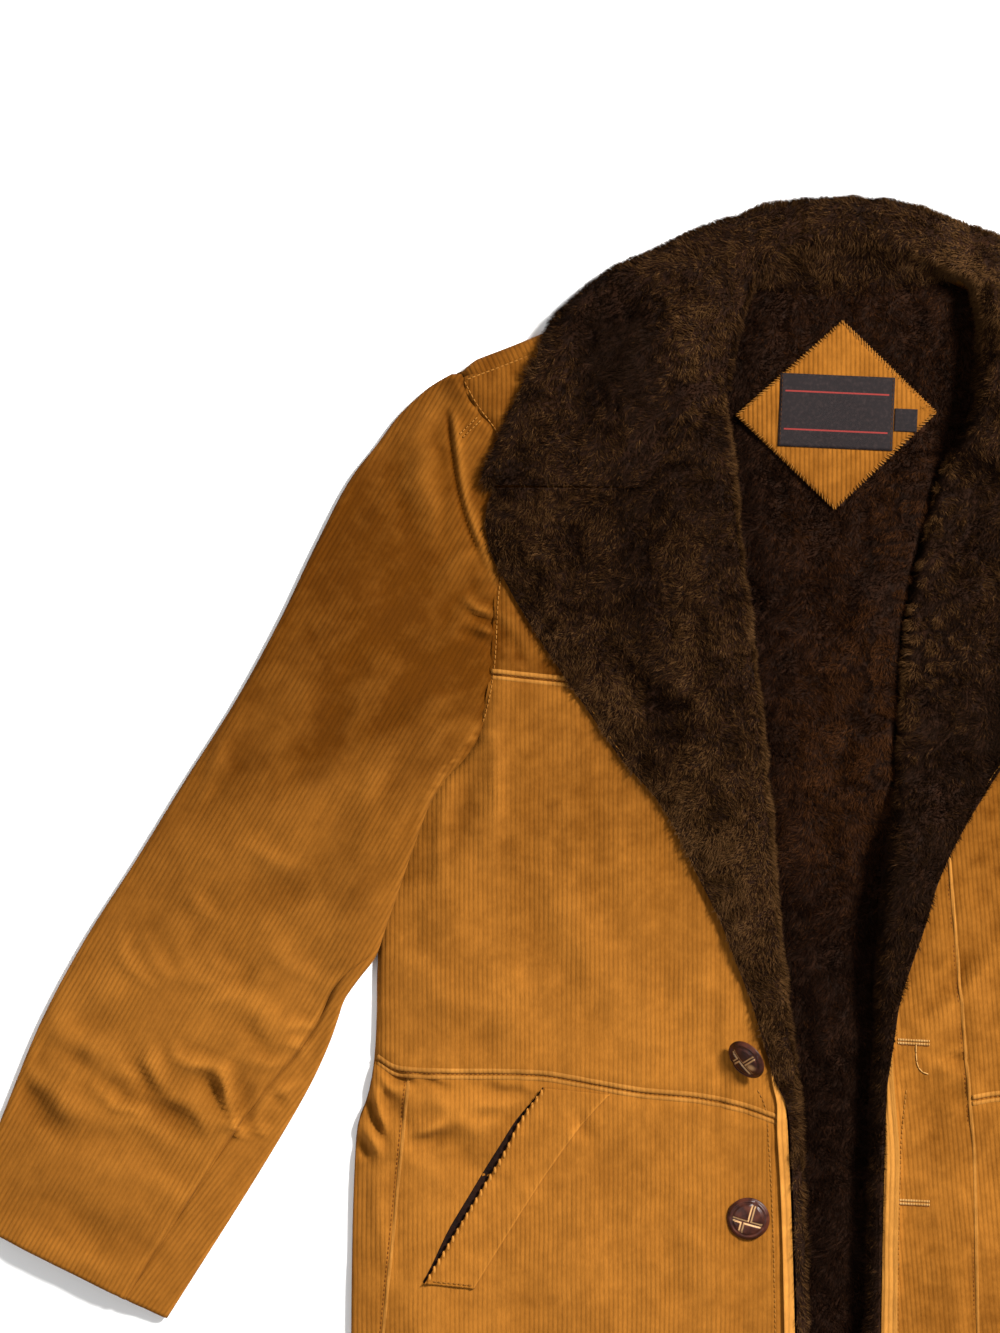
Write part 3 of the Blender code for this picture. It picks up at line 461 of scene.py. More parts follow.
def corduroy_look(name, shift=0.0, gradient=(), ribs=1.0, light=NAP_LIGHT, mottle=0.8):
    """Wide-wale cotton corduroy: round ribs with a darker groove (painted shade), and a nap crushed lighter or lying
    darker in patches; on top, painted shade over whole pieces and along their height (shift, gradient), and painted
    light and shade on raised and sunk folds (the crest attribute).
    """
    n = Nodes(name)
    uv = n.new("UVMap", uv_map="cut").outputs[0]
    part = n.new("SeparateXYZ", Vector=uv)
    u, v = part.outputs[0], part.outputs[1]
    place = n.new("TexCoord").outputs["Object"]
    sway = n.maths("MULTIPLY", n.maths("SUBTRACT", n.noise(n.joined(n.maths("MULTIPLY", u, 0.6), v), 24, 2), 0.5), 0.0016)
    phase = n.maths("DIVIDE", n.maths("ADD", u, sway), PITCH)
    rib = n.maths("MULTIPLY", n.maths("PINGPONG", phase, 0.5), 2.0)          # 0 in the groove, 1 on the rib
    round_ = n.ramp(rib, 0.0, 0.75)
    each = n.noise(n.joined(n.maths("FLOOR", phase), n.maths("MULTIPLY", v, 22.0)), 1.0, 2, 0.6)      # rib to rib
    fibre = n.noise(n.joined(n.maths("MULTIPLY", u, 1800.0), n.maths("MULTIPLY", v, 260.0)), 1.0, 3, 0.65)
    broad = n.noise(place, 10.0, 4, 0.55)
    patch = n.noise(place, 34.0, 3, 0.6)
    scuff = n.noise(place, 80.0, 5, 0.68)
    crush = n.ramp(n.noise(place, 24.0, 4, 0.6), 0.36, 0.62, 0.40, 1.0)      # where the ribs still stand
    stripe = n.maths("ADD", n.maths("MULTIPLY", n.maths("SUBTRACT", round_, 0.62), crush), 0.62)
    nap = n.maths("ADD", n.maths("MULTIPLY", broad, 0.40), n.maths("ADD", n.maths("MULTIPLY", patch, 0.25), n.maths("MULTIPLY", scuff, 0.35)))
    # real mottle of the nap, with the whole piece shifted darker or lighter (painted shade on the yoke and sleeves)
    nap_and_painted_shade = n.maths("ADD", n.ramp(nap, 0.34, 0.66, 0.54 - 0.36 * mottle, 0.54 + 0.36 * mottle), shift)
    xyz = n.new("SeparateXYZ", Vector=place)
    far = n.maths("ADD", xyz.outputs[1], n.maths("MULTIPLY", n.maths("SUBTRACT", broad, 0.5), 0.12))
    # painted shade: lighter or darker along the height of the piece
    for at_low, at_high, low, high in gradient:                               # darker in some lengths of the cloth
        nap_and_painted_shade = n.maths("ADD", nap_and_painted_shade, n.ramp(far, at_low, at_high, low, high))
    # painted light and shade: lighter where the cloth is raised, darker where it sinks (crest attribute)
    nap_and_painted_shade = n.maths("ADD", nap_and_painted_shade, n.maths("MULTIPLY", n.new("Attribute", attribute_name="crest").outputs["Fac"], 0.085))
    nap_and_painted_shade = n.maths("MINIMUM", n.maths("MAXIMUM", nap_and_painted_shade, 0.0), 1.4)
    colour = n.mix(nap_and_painted_shade, NAP_DARK, light)
    shade = n.ramp(stripe, 0.0, 1.0, 1.0 - 0.19 * ribs, 1.0 + 0.09 * ribs)
    shade = n.maths("MULTIPLY", shade, n.ramp(each, 0.25, 0.75, 0.92, 1.07))
    shade = n.maths("MULTIPLY", shade, n.ramp(fibre, 0.2, 0.8, 0.88, 1.11))
    colour = n.mix(1.0, colour, n.joined(shade, shade, shade), "MULTIPLY")
    n.put(n.shader.inputs["Base Color"], colour)
    n.put(n.shader.inputs["Roughness"], n.ramp(patch, 0.3, 0.7, 0.80, 0.95))
    n.shader.inputs["Specular IOR Level"].default_value = 0.025
    n.shader.inputs["Sheen Weight"].default_value = 0.035
    n.shader.inputs["Sheen Roughness"].default_value = 0.45
    n.shader.inputs["Sheen Tint"].default_value = (1.0, 0.64, 0.28, 1)
    coarse = n.bump(stripe, 0.0007, 0.38 * ribs)
    n.put(n.shader.inputs["Normal"], n.bump(fibre, 0.0003, 0.5, coarse))
    return n.mat


def pile_look(name, dark, light):
    """The ground of the pile, seen only between its fibres."""
    n = Nodes(name)
    place = n.new("TexCoord").outputs["Object"]
    curl = n.noise(place, 210.0, 4, 0.65)
    clump = n.noise(place, 55.0, 3, 0.6)
    mixd = n.maths("ADD", n.maths("MULTIPLY", curl, 0.55), n.maths("MULTIPLY", clump, 0.45))
    n.put(n.shader.inputs["Base Color"], n.mix(n.ramp(mixd, 0.32, 0.68), dark, light))
    n.put(n.shader.inputs["Roughness"], n.ramp(curl, 0.3, 0.7, 0.85, 1.0))
    n.shader.inputs["Specular IOR Level"].default_value = 0.1
    n.put(n.shader.inputs["Normal"], n.bump(mixd, 0.003, 0.8))
    return n.mat


def fibre_look(name, colour, rough):
    n = Nodes(name)
    place = n.new("TexCoord").outputs["Object"]
    strand = n.noise(place, 700.0, 2)                                         # fibre to fibre
    dark, light = (tuple(c * by for c in colour[:3]) + (1.0,) for by in (0.74, 1.26))
    n.put(n.shader.inputs["Base Color"], n.mix(n.ramp(strand, 0.3, 0.7), dark, light))
    n.put(n.shader.inputs["Roughness"], n.ramp(n.noise(place, 180.0, 2), 0.3, 0.7, rough - 0.1, rough + 0.1))
    n.shader.inputs["Specular IOR Level"].default_value = 0.04
    return n.mat


def thread_look(name, low, high):
    n = Nodes(name)
    place = n.new("TexCoord").outputs["Object"]
    twist = n.noise(place, 1500.0, 2)
    n.put(n.shader.inputs["Base Color"], n.mix(n.ramp(n.noise(place, 90.0, 2), 0.3, 0.7), low, high))
    n.shader.inputs["Roughness"].default_value = 0.7
    n.shader.inputs["Specular IOR Level"].default_value = 0.08
    n.put(n.shader.inputs["Normal"], n.bump(twist, 0.0002, 0.6))
    return n.mat


def tape_look(name, ground, line):
    """Black woven tape: fine ribs across, two plain red lines."""
    n = Nodes(name)
    uv = n.new("UVMap", uv_map="cut").outputs[0]
    part = n.new("SeparateXYZ", Vector=uv)
    weave = n.maths("MULTIPLY", n.maths("SINE", n.maths("MULTIPLY", part.outputs[0], 9000.0)), n.maths("SINE", n.maths("MULTIPLY", part.outputs[1], 9000.0)))
    dust = n.noise(n.new("TexCoord").outputs["Object"], 420.0, 3)
    colour = n.mix(n.ramp(dust, 0.4, 0.85, 0.0, 0.3), ground, rgb(70, 58, 56))
    if line is not None:
        away = n.maths("ABSOLUTE", n.maths("SUBTRACT", n.maths("ABSOLUTE", part.outputs[1]), 0.0125))
        inside = n.maths("LESS_THAN", n.maths("ABSOLUTE", part.outputs[0]), 0.034)
        band = n.maths("MULTIPLY", n.ramp(away, 0.0003, 0.0007, 1.0, 0.0), inside)
        colour = n.mix(band, colour, line)
    n.put(n.shader.inputs["Base Color"], colour)
    n.shader.inputs["Specular IOR Level"].default_value = 0.12
    n.put(n.shader.inputs["Roughness"], n.ramp(dust, 0.2, 0.8, 0.5, 0.75))
    n.put(n.shader.inputs["Normal"], n.bump(weave, 0.0003, 0.4))
    return n.mat


def leather_look(name):
    n = Nodes(name)
    place = n.new("TexCoord").outputs["Object"]
    grain = n.new("TexVoronoi", feature="SMOOTH_F1")
    n.put(grain.inputs["Vector"], place)
    grain.inputs["Scale"].default_value = 1500.0
    relief_and_painted_light = n.new("Attribute", attribute_name="relief_and_painted_light").outputs["Fac"]
    cloud = n.noise(place, 160.0, 3)
    colour = n.mix(n.ramp(cloud, 0.3, 0.7), rgb(38, 14, 8), rgb(70, 31, 17))
    # painted highlight: cream edge lines and a glint, set by the button's attribute
    colour = n.mix(n.ramp(relief_and_painted_light, 0.25, 0.9, 0.0, 0.9), colour, rgb(190, 148, 100))
    n.put(n.shader.inputs["Base Color"], colour)
    n.put(n.shader.inputs["Roughness"], n.ramp(cloud, 0.3, 0.7, 0.32, 0.50))
    n.shader.inputs["Specular IOR Level"].default_value = 0.26
    n.put(n.shader.inputs["Normal"], n.bump(grain.outputs["Distance"], 0.0002, 0.35))
    return n.mat


# painted shade: the yoke and sleeves are darker copies of the corduroy, and the gradients make pieces lighter or darker
# along their height. The wearer's left front is a darker copy.
front_cord = corduroy_look("corduroy_front", 0.0, [(-0.16, 0.02, 0.36, -0.06)], ribs=0.86, mottle=0.72)
front_cord_l = corduroy_look("corduroy_front_left", -0.20, [(-0.16, 0.02, 0.36, -0.06)], ribs=0.86, mottle=0.9)
yoke_cord = corduroy_look("corduroy_yoke", -0.38, [(0.16, 0.27, 0.0, 0.14)], mottle=0.7)
sleeve_cord = corduroy_look("corduroy_sleeve", -0.13, [(-0.16, 0.12, 0.34, -0.34), (0.19, 0.25, 0.0, 0.18)], mottle=0.40)
under_cord = corduroy_look("corduroy_plain", 0.05)
patch_cord = corduroy_look("corduroy_patch", 0.08, ribs=1.2)
# painted highlight: a lighter copy of the corduroy for the seam ridges, the piped lapel edge and the welt's beads
seam_cord = corduroy_look("corduroy_seam", 0.24, ribs=0.9, light=(0.30, 0.124, 0.022, 1))
pile_ground = pile_look("pile_ground", rgb(20, 8, 2), rgb(36, 18, 7))
pile_tones = [fibre_look("pile_dark", dim(rgb(28, 14, 5), 0.62, 1.0, 0.8), 0.8), fibre_look("pile_brown", dim(rgb(43, 24, 10), 0.84, 1.02, 0.84), 0.75),
              fibre_look("pile_light", dim(rgb(60, 37, 18), 0.86, 1.04, 0.9), 0.7), fibre_look("pile_tip", dim(rgb(76, 50, 28), 0.86, 1.04, 0.9), 0.65)]
lining_tones = [fibre_look("lining_dark", dim(rgb(24, 10, 3), 0.6, 0.94, 0.75), 0.8), fibre_look("lining_brown", dim(rgb(36, 17, 6), 0.6, 0.94, 0.75), 0.75),
                fibre_look("lining_light", dim(rgb(48, 26, 11), 0.6, 0.94, 0.75), 0.7), fibre_look("lining_tip", dim(rgb(66, 38, 18), 0.6, 0.94, 0.75), 0.65)]
thread = thread_look("tan_thread", dim(rgb(160, 100, 38), 0.5, 1, 0.8), dim(rgb(192, 128, 58), 0.5, 1, 0.8))
seam_thread = thread_look("seam_thread", dim(rgb(112, 60, 16), 0.5, 0.95, 0.8), dim(rgb(138, 80, 26), 0.5, 0.95, 0.8))
pale_thread = thread_look("pale_thread", dim(rgb(206, 150, 84), 0.62, 1, 0.9), dim(rgb(228, 178, 116), 0.62, 1, 0.9))
dark_thread = thread_look("dark_thread", rgb(44, 26, 14), rgb(70, 42, 22))
tape = tape_look("woven_tape", rgb(24, 18, 19), rgb(120, 40, 36))
tab_tape = tape_look("woven_tab", rgb(22, 17, 18), None)
leather = leather_look("braided_leather")
# painted shadow: the dark look laid over the pocket's opening
pocket_shadow_look = pile_look("pocket_painted_shadow", rgb(16, 7, 4), rgb(34, 16, 8))


# ------------------------------------------------------------------ pile fibres
def lies_low(y):
    """1 along the chest, where the wearer's left front turns over softly, without a high roll."""
    return smooth(252, 220, y) * smooth(-25, 30, y)


def parted(x, y):
    """1 on the partings of the pile, falling to 0 beside them."""
    near = np.exp(-((x - roll_out[1](y) + 2) / 30) ** 2) * lies_low(y)
    beside = np.exp(-(((x + 108) * 0.764 - (y - 264) * 0.645) / 15) ** 2 - (((x + 108) * 0.645 + (y - 264) * 0.764) / 50) ** 2)
    crackle = np.maximum(near, 0.7 * beside) * np.exp(-(noise(x * 0.75, y * 1.25, 12, 103) / 0.22) ** 2)
    x, y = x + 3.0 * noise(x, y, 15, 97) + 1.3 * noise(x, y, 5, 98), y + 3.0 * noise(x, y, 15, 99) + 1.3 * noise(x, y, 5, 100)
    open_ = np.zeros(x.shape)
    for p in PARTINGS:
        run, rise = p.x_1 - p.x_0, p.y_1 - p.y_0
        t = np.clip(((x - p.x_0) * run + (y - p.y_0) * rise) / (run * run + rise * rise), 0, 1)
        away = np.hypot(x - p.x_0 - t * run, y - p.y_0 - t * rise)
        open_ = np.maximum(open_, np.exp(-(away / p.width) ** 2) * (0.45 + 0.55 * np.sin(np.pi * t)))
    return np.maximum(open_, crackle)


def fibres(name, grid, count, length, lean, wave=0.9, keep=None, tones=(0.36, 0.36, 0.20, 0.08), width=0.56, looks=None, painted_light_and_shade=None):
    """Short fibres standing on a grid of points, leaning and combed into clumps. One tapered blade each."""
    rows, columns = grid.shape[:2]
    a, b, c, d = grid[:-1, :-1], grid[:-1, 1:], grid[1:, 1:], grid[1:, :-1]
    area = (np.linalg.norm(np.cross(b - a, c - a), axis=-1) + np.linalg.norm(np.cross(c - a, d - a), axis=-1)).ravel()
    steep = np.cross(b - a, d - a)
    steep = 1 - np.abs(steep[..., 2] / np.maximum(np.linalg.norm(steep, axis=-1), 1e-9)).ravel()
    area = area * (1 + 1.8 * steep ** 2)
    if keep is not None:
        mid = ((a + b + c + d) / 4).reshape(-1, 3)
        area = area * keep(mid[:, 0], mid[:, 1], mid[:, 2])
    cell = rng.choice(len(area), count, p=area / area.sum())
    i, j = cell // (columns - 1), cell % (columns - 1)
    s, t = rng.random((2, count, 1))
    root = (1 - s) * (1 - t) * grid[i, j] + s * (1 - t) * grid[i, j + 1] + (1 - s) * t * grid[i + 1, j] + s * t * grid[i + 1, j + 1]
    nrm = normals_of(grid)
    up = (1 - s) * (1 - t) * nrm[i, j] + s * (1 - t) * nrm[i, j + 1] + (1 - s) * t * nrm[i + 1, j] + s * t * nrm[i + 1, j + 1]
    up /= np.linalg.norm(up, axis=1)[:, None]
    x, y = root[:, 0], root[:, 1]
    turn = noise(x, y, 9.0, 11) * 1.5 + noise(x, y, 24.0, 12) * 1.4 + rng.normal(0, 0.45, count)
    base = math.atan2(lean[1], lean[0])
    comb = np.stack([np.cos(base + turn), np.sin(base + turn), np.zeros(count)], 1)
    comb -= up * np.einsum("ij,ij->i", comb, up)[:, None]
    comb /= np.maximum(np.linalg.norm(comb, axis=1), 1e-6)[:, None]
    tall = length * (0.72 + 0.4 * rng.random(count)) * (1 + 0.22 * noise(x, y, 7.0, 13) + 0.18 * noise(x, y, 18.0, 14))
    gap = parted(x, y)
    tall = tall * (1 - 0.70 * gap)
    bent = wave * (0.45 + 0.55 * rng.random(count)) * (1 + 0.4 * noise(x, y, 12.0, 15))
    tip = root + up * (tall * np.cos(bent))[:, None] + comb * (tall * np.sin(bent))[:, None]
    spin = rng.random(count) * 2 * np.pi
    flat_a = np.cross(up, comb)
    across = comb * np.cos(spin)[:, None] + flat_a * np.sin(spin)[:, None]
    wide = width * (0.7 + 0.6 * rng.random(count))[:, None] / 2
    verts = np.stack([root - across * wide, root + across * wide, tip], 1).reshape(-1, 3)
    verts[:, 2] = np.maximum(verts[:, 2], 0.4)
    blades = np.arange(3 * count).reshape(-1, 3)
    clump = noise(x, y, 3.6, 16) * 0.40 + noise(x, y, 34.0, 17) * 0.22 + rng.normal(0, 0.38, count)
    cuts = np.quantile(clump, np.cumsum(tones)[:-1])
    # painted light and shade: each fibre's tone is shifted by where it stands
    if painted_light_and_shade is not None:
        clump = clump + painted_light_and_shade(root[:, 0], root[:, 1], root[:, 2])
    # painted shade: fibres on the partings take the darkest tones
    made = build(name, verts, blades, looks or pile_tones, slots=np.searchsorted(cuts, clump - 2.8 * gap))
    return made


# ------------------------------------------------------------------ the back
def back():
    v = np.linspace(0, 1, 90)[:, None]
    u = np.linspace(0, 1, 61)[None, :]
    y0 = HEM + v * (293 - HEM) + u * 0
    half = body_out(y0)
    x = (2 * u - 1) * half
    neck = through([(0, NECK + 2), (45, NECK + 6), (87, 366), (260, 420)])
    y_top = np.minimum(shoulder_y(np.abs(x)), neck(np.abs(x)))
    k = np.clip((y0 - 60) / (293 - 60), 0, 1)
    y = y0 + k * (y_top - 293)
    low = np.zeros_like(x)
    top = low + SHELL + 0.15 * noise(x, y, 20, 20)
    made = plan_slab("back_panel", x, y, low, top, under_cord)
    rolls = []
    for side in (-1, 1):          # the back comes over the shoulder to the front's seam
        out = np.linspace(251, 92, 90)[:, None]
        a = np.linspace(0, 1, 21)[None, :]
        angle = np.pi * np.clip(1.32 * a - 0.05, -0.05, 1.0)
        lap = smooth(0.79, 1.0, a)
        line = shoulder_y(out)
        slope = math.atan2(366 - 292, -(87 - 252))
        deep, tall = 6.0 * smooth(252, 236, out) + 2.0, 5.6
        ease = smooth(254, 242, out) * 0.75 + 0.25
        across = -2.5 + deep * np.sin(angle) * 0.75 - 6.0 * lap
        z = 0.4 + tall * ease * (1 - np.cos(angle)) + 0.3 * noise(out * 1.0, a * 0, 9, 21) - 0.6 * lap
        px = out + across * math.sin(slope)
        py = line + across * math.cos(slope)
        grid = np.stack([side * px, py, z], -1)
        inner = grid - normals_of(grid) * 1.3 * (1 if side < 0 else -1)
        uv = np.stack([out + a * 0, a * 26 + out * 0], -1)
        strip = slab(f"back_shoulder_{'r' if side < 0 else 'l'}", grid, inner, yoke_cord, uv)
        rolls.append(strip)
    declare("back_shell")


def back_lining():
    """Pile in the opening, a little hollow beside the wearer's left front."""
    v = np.linspace(0, 1, 112)[:, None]
    y0 = HEM + 6 + v * (293 - HEM - 6)
    mid = y0 + np.clip((y0 - 60) / 233, 0, 1) * (NECK + 10 - 293)
    a, b = -roll_out[-1](mid), roll_out[1](mid)
    half = front_out(y0) - 26 + 14 * smooth(30, 80, y0)
    cols = np.concatenate([np.linspace(0, 1, 6)[:-1], 1 + np.linspace(0, 1, 44)[:-1], 2 + np.linspace(0, 1, 6)])[None, :]
    x = np.where(cols < 1, -half + cols * (a + half), np.where(cols < 2, a + (cols - 1) * (b - a), b + (cols - 2) * (half - b)))
    neck = through([(0, NECK + 10), (70, NECK + 12), (100, NECK + 16), (260, 420)])
    y_top = np.minimum(shoulder_y(np.abs(x)) - 22, neck(np.abs(x)))
    y = y0 + np.clip((y0 - 60) / 233, 0, 1) * (y_top - 293)
    inside = np.minimum(x + roll_out[-1](y), roll_out[1](y) - x)
    open_ = smooth(2, 22, inside)
    hollow = smooth(30, 6, roll_out[1](y) - x) * smooth(-420, 0, -y + 40)
    top = LINING_LOW + 2.6 + (2.2 + 0.8 * noise(x, y, 26, 30) + 0.5 * noise(x, y, 11, 31)) * open_ - 0.8 * hollow * open_
    top = top + 6.5 * lies_low(y) * smooth(40, 6, roll_out[1](y) - x) * smooth(-1, 3, roll_out[1](y) - x)
    ground = plan_slab("back_lining_pile", x, y, np.full_like(x, LINING_LOW), np.maximum(top, LINING_LOW + 1.2), pile_ground)
    grid = np.stack([x, y, top], -1)
    # painted light and shade on the lining's fibres: lighter around the middle of the opening and beside the wearer's
    # left roll, darker on the wearer's right and toward the hem
    strands = fibres("back_lining_fibres", grid, 80000, 4.8, (0.25, -1.0), 1.05, looks=lining_tones,
                     painted_light_and_shade=lambda px, py, pz: 0.85 * np.exp(-((py - 40) / 70) ** 2) * smooth(-60, 0, px) - 0.5 * smooth(-30, -70, px) - 0.6 * smooth(-20, -130, py) + 0.7 * lies_low(py) * np.exp(-((roll_out[1](py) - px - 12) / 24) ** 2),
                     keep=lambda px, py, pz: (np.minimum(px + roll_out[-1](py), roll_out[1](py) - px) > -3) * (np.abs(px + 3) / 66 + np.abs(py - 264) / 62 > 0.97) * 1.0)
    declare("back_lining")


# ------------------------------------------------------------------ the fronts
def fronts(side, mark, sewn):
    def inner(y):
        return roll_out[side](y) + ROLL + 2

    def lay(name, node, out, y, look, flat, more):
        low = front_low(out, y)
        wave = front_wave(out, y, side)
        top = low + SHELL + wave
        bottom = np.maximum(low + np.minimum(wave, 0) * 0.6, LINING_LOW)
        lean = 0.085 * y if side > 0 else 0 * y
        # painted light and shade: the cloth's colour is lighter on raised folds and darker in sunk ones (crest)
        crest = wave
        # painted highlight: on the wearer's left, the turned front edge is made lighter, as if it caught the light
        if side > 0:                                     # the turned front edge catches the light
            turned = 13.5 * smooth(-118, -222, y)
            near = out - lapel_out[side](np.clip(y, -400, 205))
            crest = wave + smooth(-112, -135, y) * (4.6 * smooth(turned + 1.2, turned - 0.6, near) + 2.5 * np.exp(-((near - turned) / 1.6) ** 2))
        made = plan_slab(name, side * out, y, bottom, top, look, np.stack([side * out + lean, y], -1), crest)
        made.data.set_sharp_from_angle(angle=math.radians(78))
        declare(node)

    def side_edge(v, low_of, high_of, out_of, start):
        y = start
        for _ in range(25):
            out = out_of(y)
            y = 0.5 * y + 0.5 * (low_of(out) + v * (high_of(out) - low_of(out)))
        return out_of(y)

    v, u = np.linspace(0, 1, 84)[:, None], np.linspace(0, 1, 60)[None, :]
    a = side_edge(v, lambda o: yoke_y(o) + 0.3, lambda o: shoulder_y(o) - 5, lambda q: body_out(q) + 0.6, 93 + v * 190)
    b = inner(yoke_y(60) + v * (352 - yoke_y(60)))
    out = a + u * (b - a)
    low = yoke_y(out) + 0.3
    lay(f"yoke_{mark}", f"front_yoke_{mark}", out, low + v * (shoulder_y(out) - 5 - low), yoke_cord, (0.20, 0.285), sewn[0])

    v, u = np.linspace(0, 1, 92)[:, None], np.linspace(0, 1, 84)[None, :]
    y = waist_y(305) + v * (yoke_y(230) - waist_y(305))
    a = side_edge(v, lambda o: waist_y(o) - 0.8, lambda o: yoke_y(o) + 0.6, lambda q: front_out(q) + 0.4 * smooth(20, 60, q), y)
    b = inner(y)
    out = a + u * (b - a)
    low, high = waist_y(out) - 0.8, yoke_y(out) + 0.6
    lay(f"front_{mark}", f"front_body_{mark}", out, low + v * (high - low), front_cord if side < 0 else front_cord_l, (0.285, 0.295), sewn[1])

    v, u = 1 - (1 - np.linspace(0, 1, 76)[:, None]) ** 1.4, np.linspace(0, 1, 88)[None, :] ** 1.4
    y = HEM + 1 + v * (waist_y(305) - HEM - 1)
    a, b = front_out(y) - 0.4, inner(y)
    out = a + u * (b - a)
    lay(f"skirt_{mark}", f"front_skirt_{mark}", out, HEM + 1 + v * (waist_y(out) - 0.78 - HEM - 1), front_cord if side < 0 else front_cord_l, (0.305, 0.25), sewn[2])


def lapel_row(side, y, high_y=279.0):
    """Plan points of one row of the lapel's face, from its edge to the roll."""
    edge_y = y if y < 50 else 50 + (y - 50) * (216.0 - 50) / (high_y - 50)
    start = np.array([float(roll_out[side](y)) + ROLL, y])
    tip = np.array([float(lapel_out[side](edge_y)) - 1.5, edge_y])
    bend = (start + tip) / 2
    return start, tip, bend + float(smooth(60, high_y, y)) * (np.array([GORGE.out, GORGE.y]) - bend)


def lapel_shade(away, y, side):
    """Painted light and shade on the lapel's pile: lighter and darker lengths, by distance from the roll line."""
    band = 0.30 * np.exp(-((away - 36) / 15) ** 2) * smooth(-60, 0, y) * smooth(210, 150, y)
    dark = -0.55 * np.exp(-((away - 70) / 12) ** 2) * smooth(10, 60, y)
    low = 0.48 * smooth(170, -30, y) - 0.15 * smooth(-40, -150, y)
    if side > 0:
        return -0.05 - 0.55 * smooth(120, 0, y) + 0.3 * band + dark + 0.5 * lies_low(y) * smooth(34, 4, away)
    return 0.12 + low + band + dark - 0.35 * np.exp(-((away - 22) / 22) ** 2) * smooth(-20, 60, y) - 0.35 * np.exp(-((away - 108) / 16) ** 2) * smooth(150, 190, y)


def facing(side, mark):
    face, turn, behind = 44, 12, 3
    ys = np.linspace(HEM + 4, 279, 132)
    outer, inner = [], []
    for y in ys:
        start, tip, bend = lapel_row(side, y)
        plan = resample([tip, bend, start], np.linspace(0, 1, face))
        run = np.linalg.norm(plan - plan[0], axis=1)
        wide = max(run[-1], 1e-6)
        f = run / wide
        back_off = wide - run
        hump = 8.0 * min(1, wide / 110) * np.exp(-((back_off - 22) / 24) ** 2) if side < 0 else 17.0 * (1 - 0.88 * float(lies_low(y))) * np.exp(-(back_off / 38) ** 2)
        rise = 15.4 + 2.4 * smooth(1, 26, run) + 2.6 * np.sin(np.pi * np.clip(f, 0, 1)) * min(1, wide / 90) + hump * min(1, (wide + 16) / 34)
        rise += np.clip(creases(PILE_CREASES, plan[:, 0], plan[:, 1], side), -3, 3) * min(1, wide / 60)
        rise += 0.9 * noise(plan[:, 0] * side, plan[:, 1], 14, 40) + 0.5 * noise(plan[:, 0] * side, plan[:, 1], 6, 41)
        rise += 1.0 * float(smooth(255, 279, y))     # up to the seam with the collar
        rise = np.maximum(rise, 15.2)
        up = np.stack([side * plan[:, 0], plan[:, 1], rise], 1)
        down = np.stack([side * plan[:, 0], plan[:, 1], np.full(face, 14.4)], 1)
        angle = np.linspace(0, np.pi, turn + 1)[1:]
        top, low = rise[-1], FACING_LOW
        reach = ROLL - 2.5 + 0.8 * float(noise(y, 0.0, 16, 42))
        round_ = np.stack([side * (start[0] - reach * np.sin(angle)), np.full(turn, y), (top + low) / 2 + (top - low) / 2 * np.cos(angle)], 1)
        tight = np.stack([side * (start[0] - 2.0 * np.sin(angle)), np.full(turn, y), 12.8 + 2.2 * np.cos(angle)], 1)
        end = float(front_out(y)) - 70 + 40 * float(smooth(40, 90, y))
        outs = start[0] + np.linspace(0, 1, behind + 1)[1:] * (end - start[0])
        flat = np.stack([side * outs, np.full(behind, y), np.full(behind, low)], 1)
        outer.append(np.concatenate([up, round_, flat]))
        inner.append(np.concatenate([down, tight, flat + [0, 0, 1.8]]))
    outer, inner = np.array(outer), np.array(inner)
    ground = slab(f"facing_pile_{mark}", outer, inner, pile_ground)
    shown = outer[:, :face + 9] if side < 0 else outer[:, face + 8::-1]
    # painted light and shade on the lapel's fibres (lapel_shade), with a painted highlight along the rim of the roll
    strands = fibres(f"facing_fibres_{mark}", shown, 82000, 4.9, (0.15 * side, -1.0), 1.05,
                     keep=lambda px, py, pz: 0.45 + 0.55 * (py > -230),
                     painted_light_and_shade=lambda px, py, pz: lapel_shade(np.abs(px) - roll_out[side](py), py, side) + (0.9 if side < 0 else 0.3) * smooth(7, 1, np.abs(px) - roll_out[side](py)) * (pz > 14))
    declare(f"facing_{mark}")

    # the corduroy behind the lapel, whose piped edge shows; painted highlight makes it lighter (the lighter seam copy
    # and a raised crest)
    v = np.linspace(0, 1, 130)[:, None]
    u = np.linspace(0, 1, 11)[None, :] ** 2.5
    y = HEM + 2 + v * (205 - HEM - 2) + u * 0
    proud = -4 + (10.8 * (1 - smooth(-205, -146, y)) if side < 0 else 16.0 * (1 - smooth(-232, -118, y)))
    a, b = lapel_out[side](y) + proud, roll_out[side](y) + ROLL + 1.5
    out = a + u * (b - a)
    base = 13.2 - 1.3 * smooth(120, 165, y) + 0 * out
    bead = 0.9 * np.exp(-((out - a) * -1 / 1.6) ** 2)
    made = plan_slab(f"under_lapel_{mark}_cloth", side * out, y, base - 0.2, base + 1.3 + bead, seam_cord, np.stack([side * (out - a), y], -1), np.full(out.shape, 6.0))
    declare(f"under_lapel_{mark}")


# ------------------------------------------------------------------ the collar
def collar_shade(x, y, z):
    """Painted light and shade on the collar's pile: lighter and darker lengths, painted shade in a hollow of the
    wearer's right leaf, lighter toward the back and on the wearer's left leaf.
    """
    hollow = -1.45 * np.exp(-((x + 144 + 0.2 * (y - 305)) / 27) ** 2 - ((y - 306) / 40) ** 2)
    band = 0.6 * np.exp(-((x + 98) / 16) ** 2) * smooth(215, 245, y) * smooth(352, 325, y)
    tail = 0.25 * np.exp(-((x + 196) / 20) ** 2 - ((y - 245) / 30) ** 2)
    return 0.28 * smooth(335, 385, y) + hollow + band + tail + 1.25 * smooth(30, 95, x) * smooth(300, 350, y)


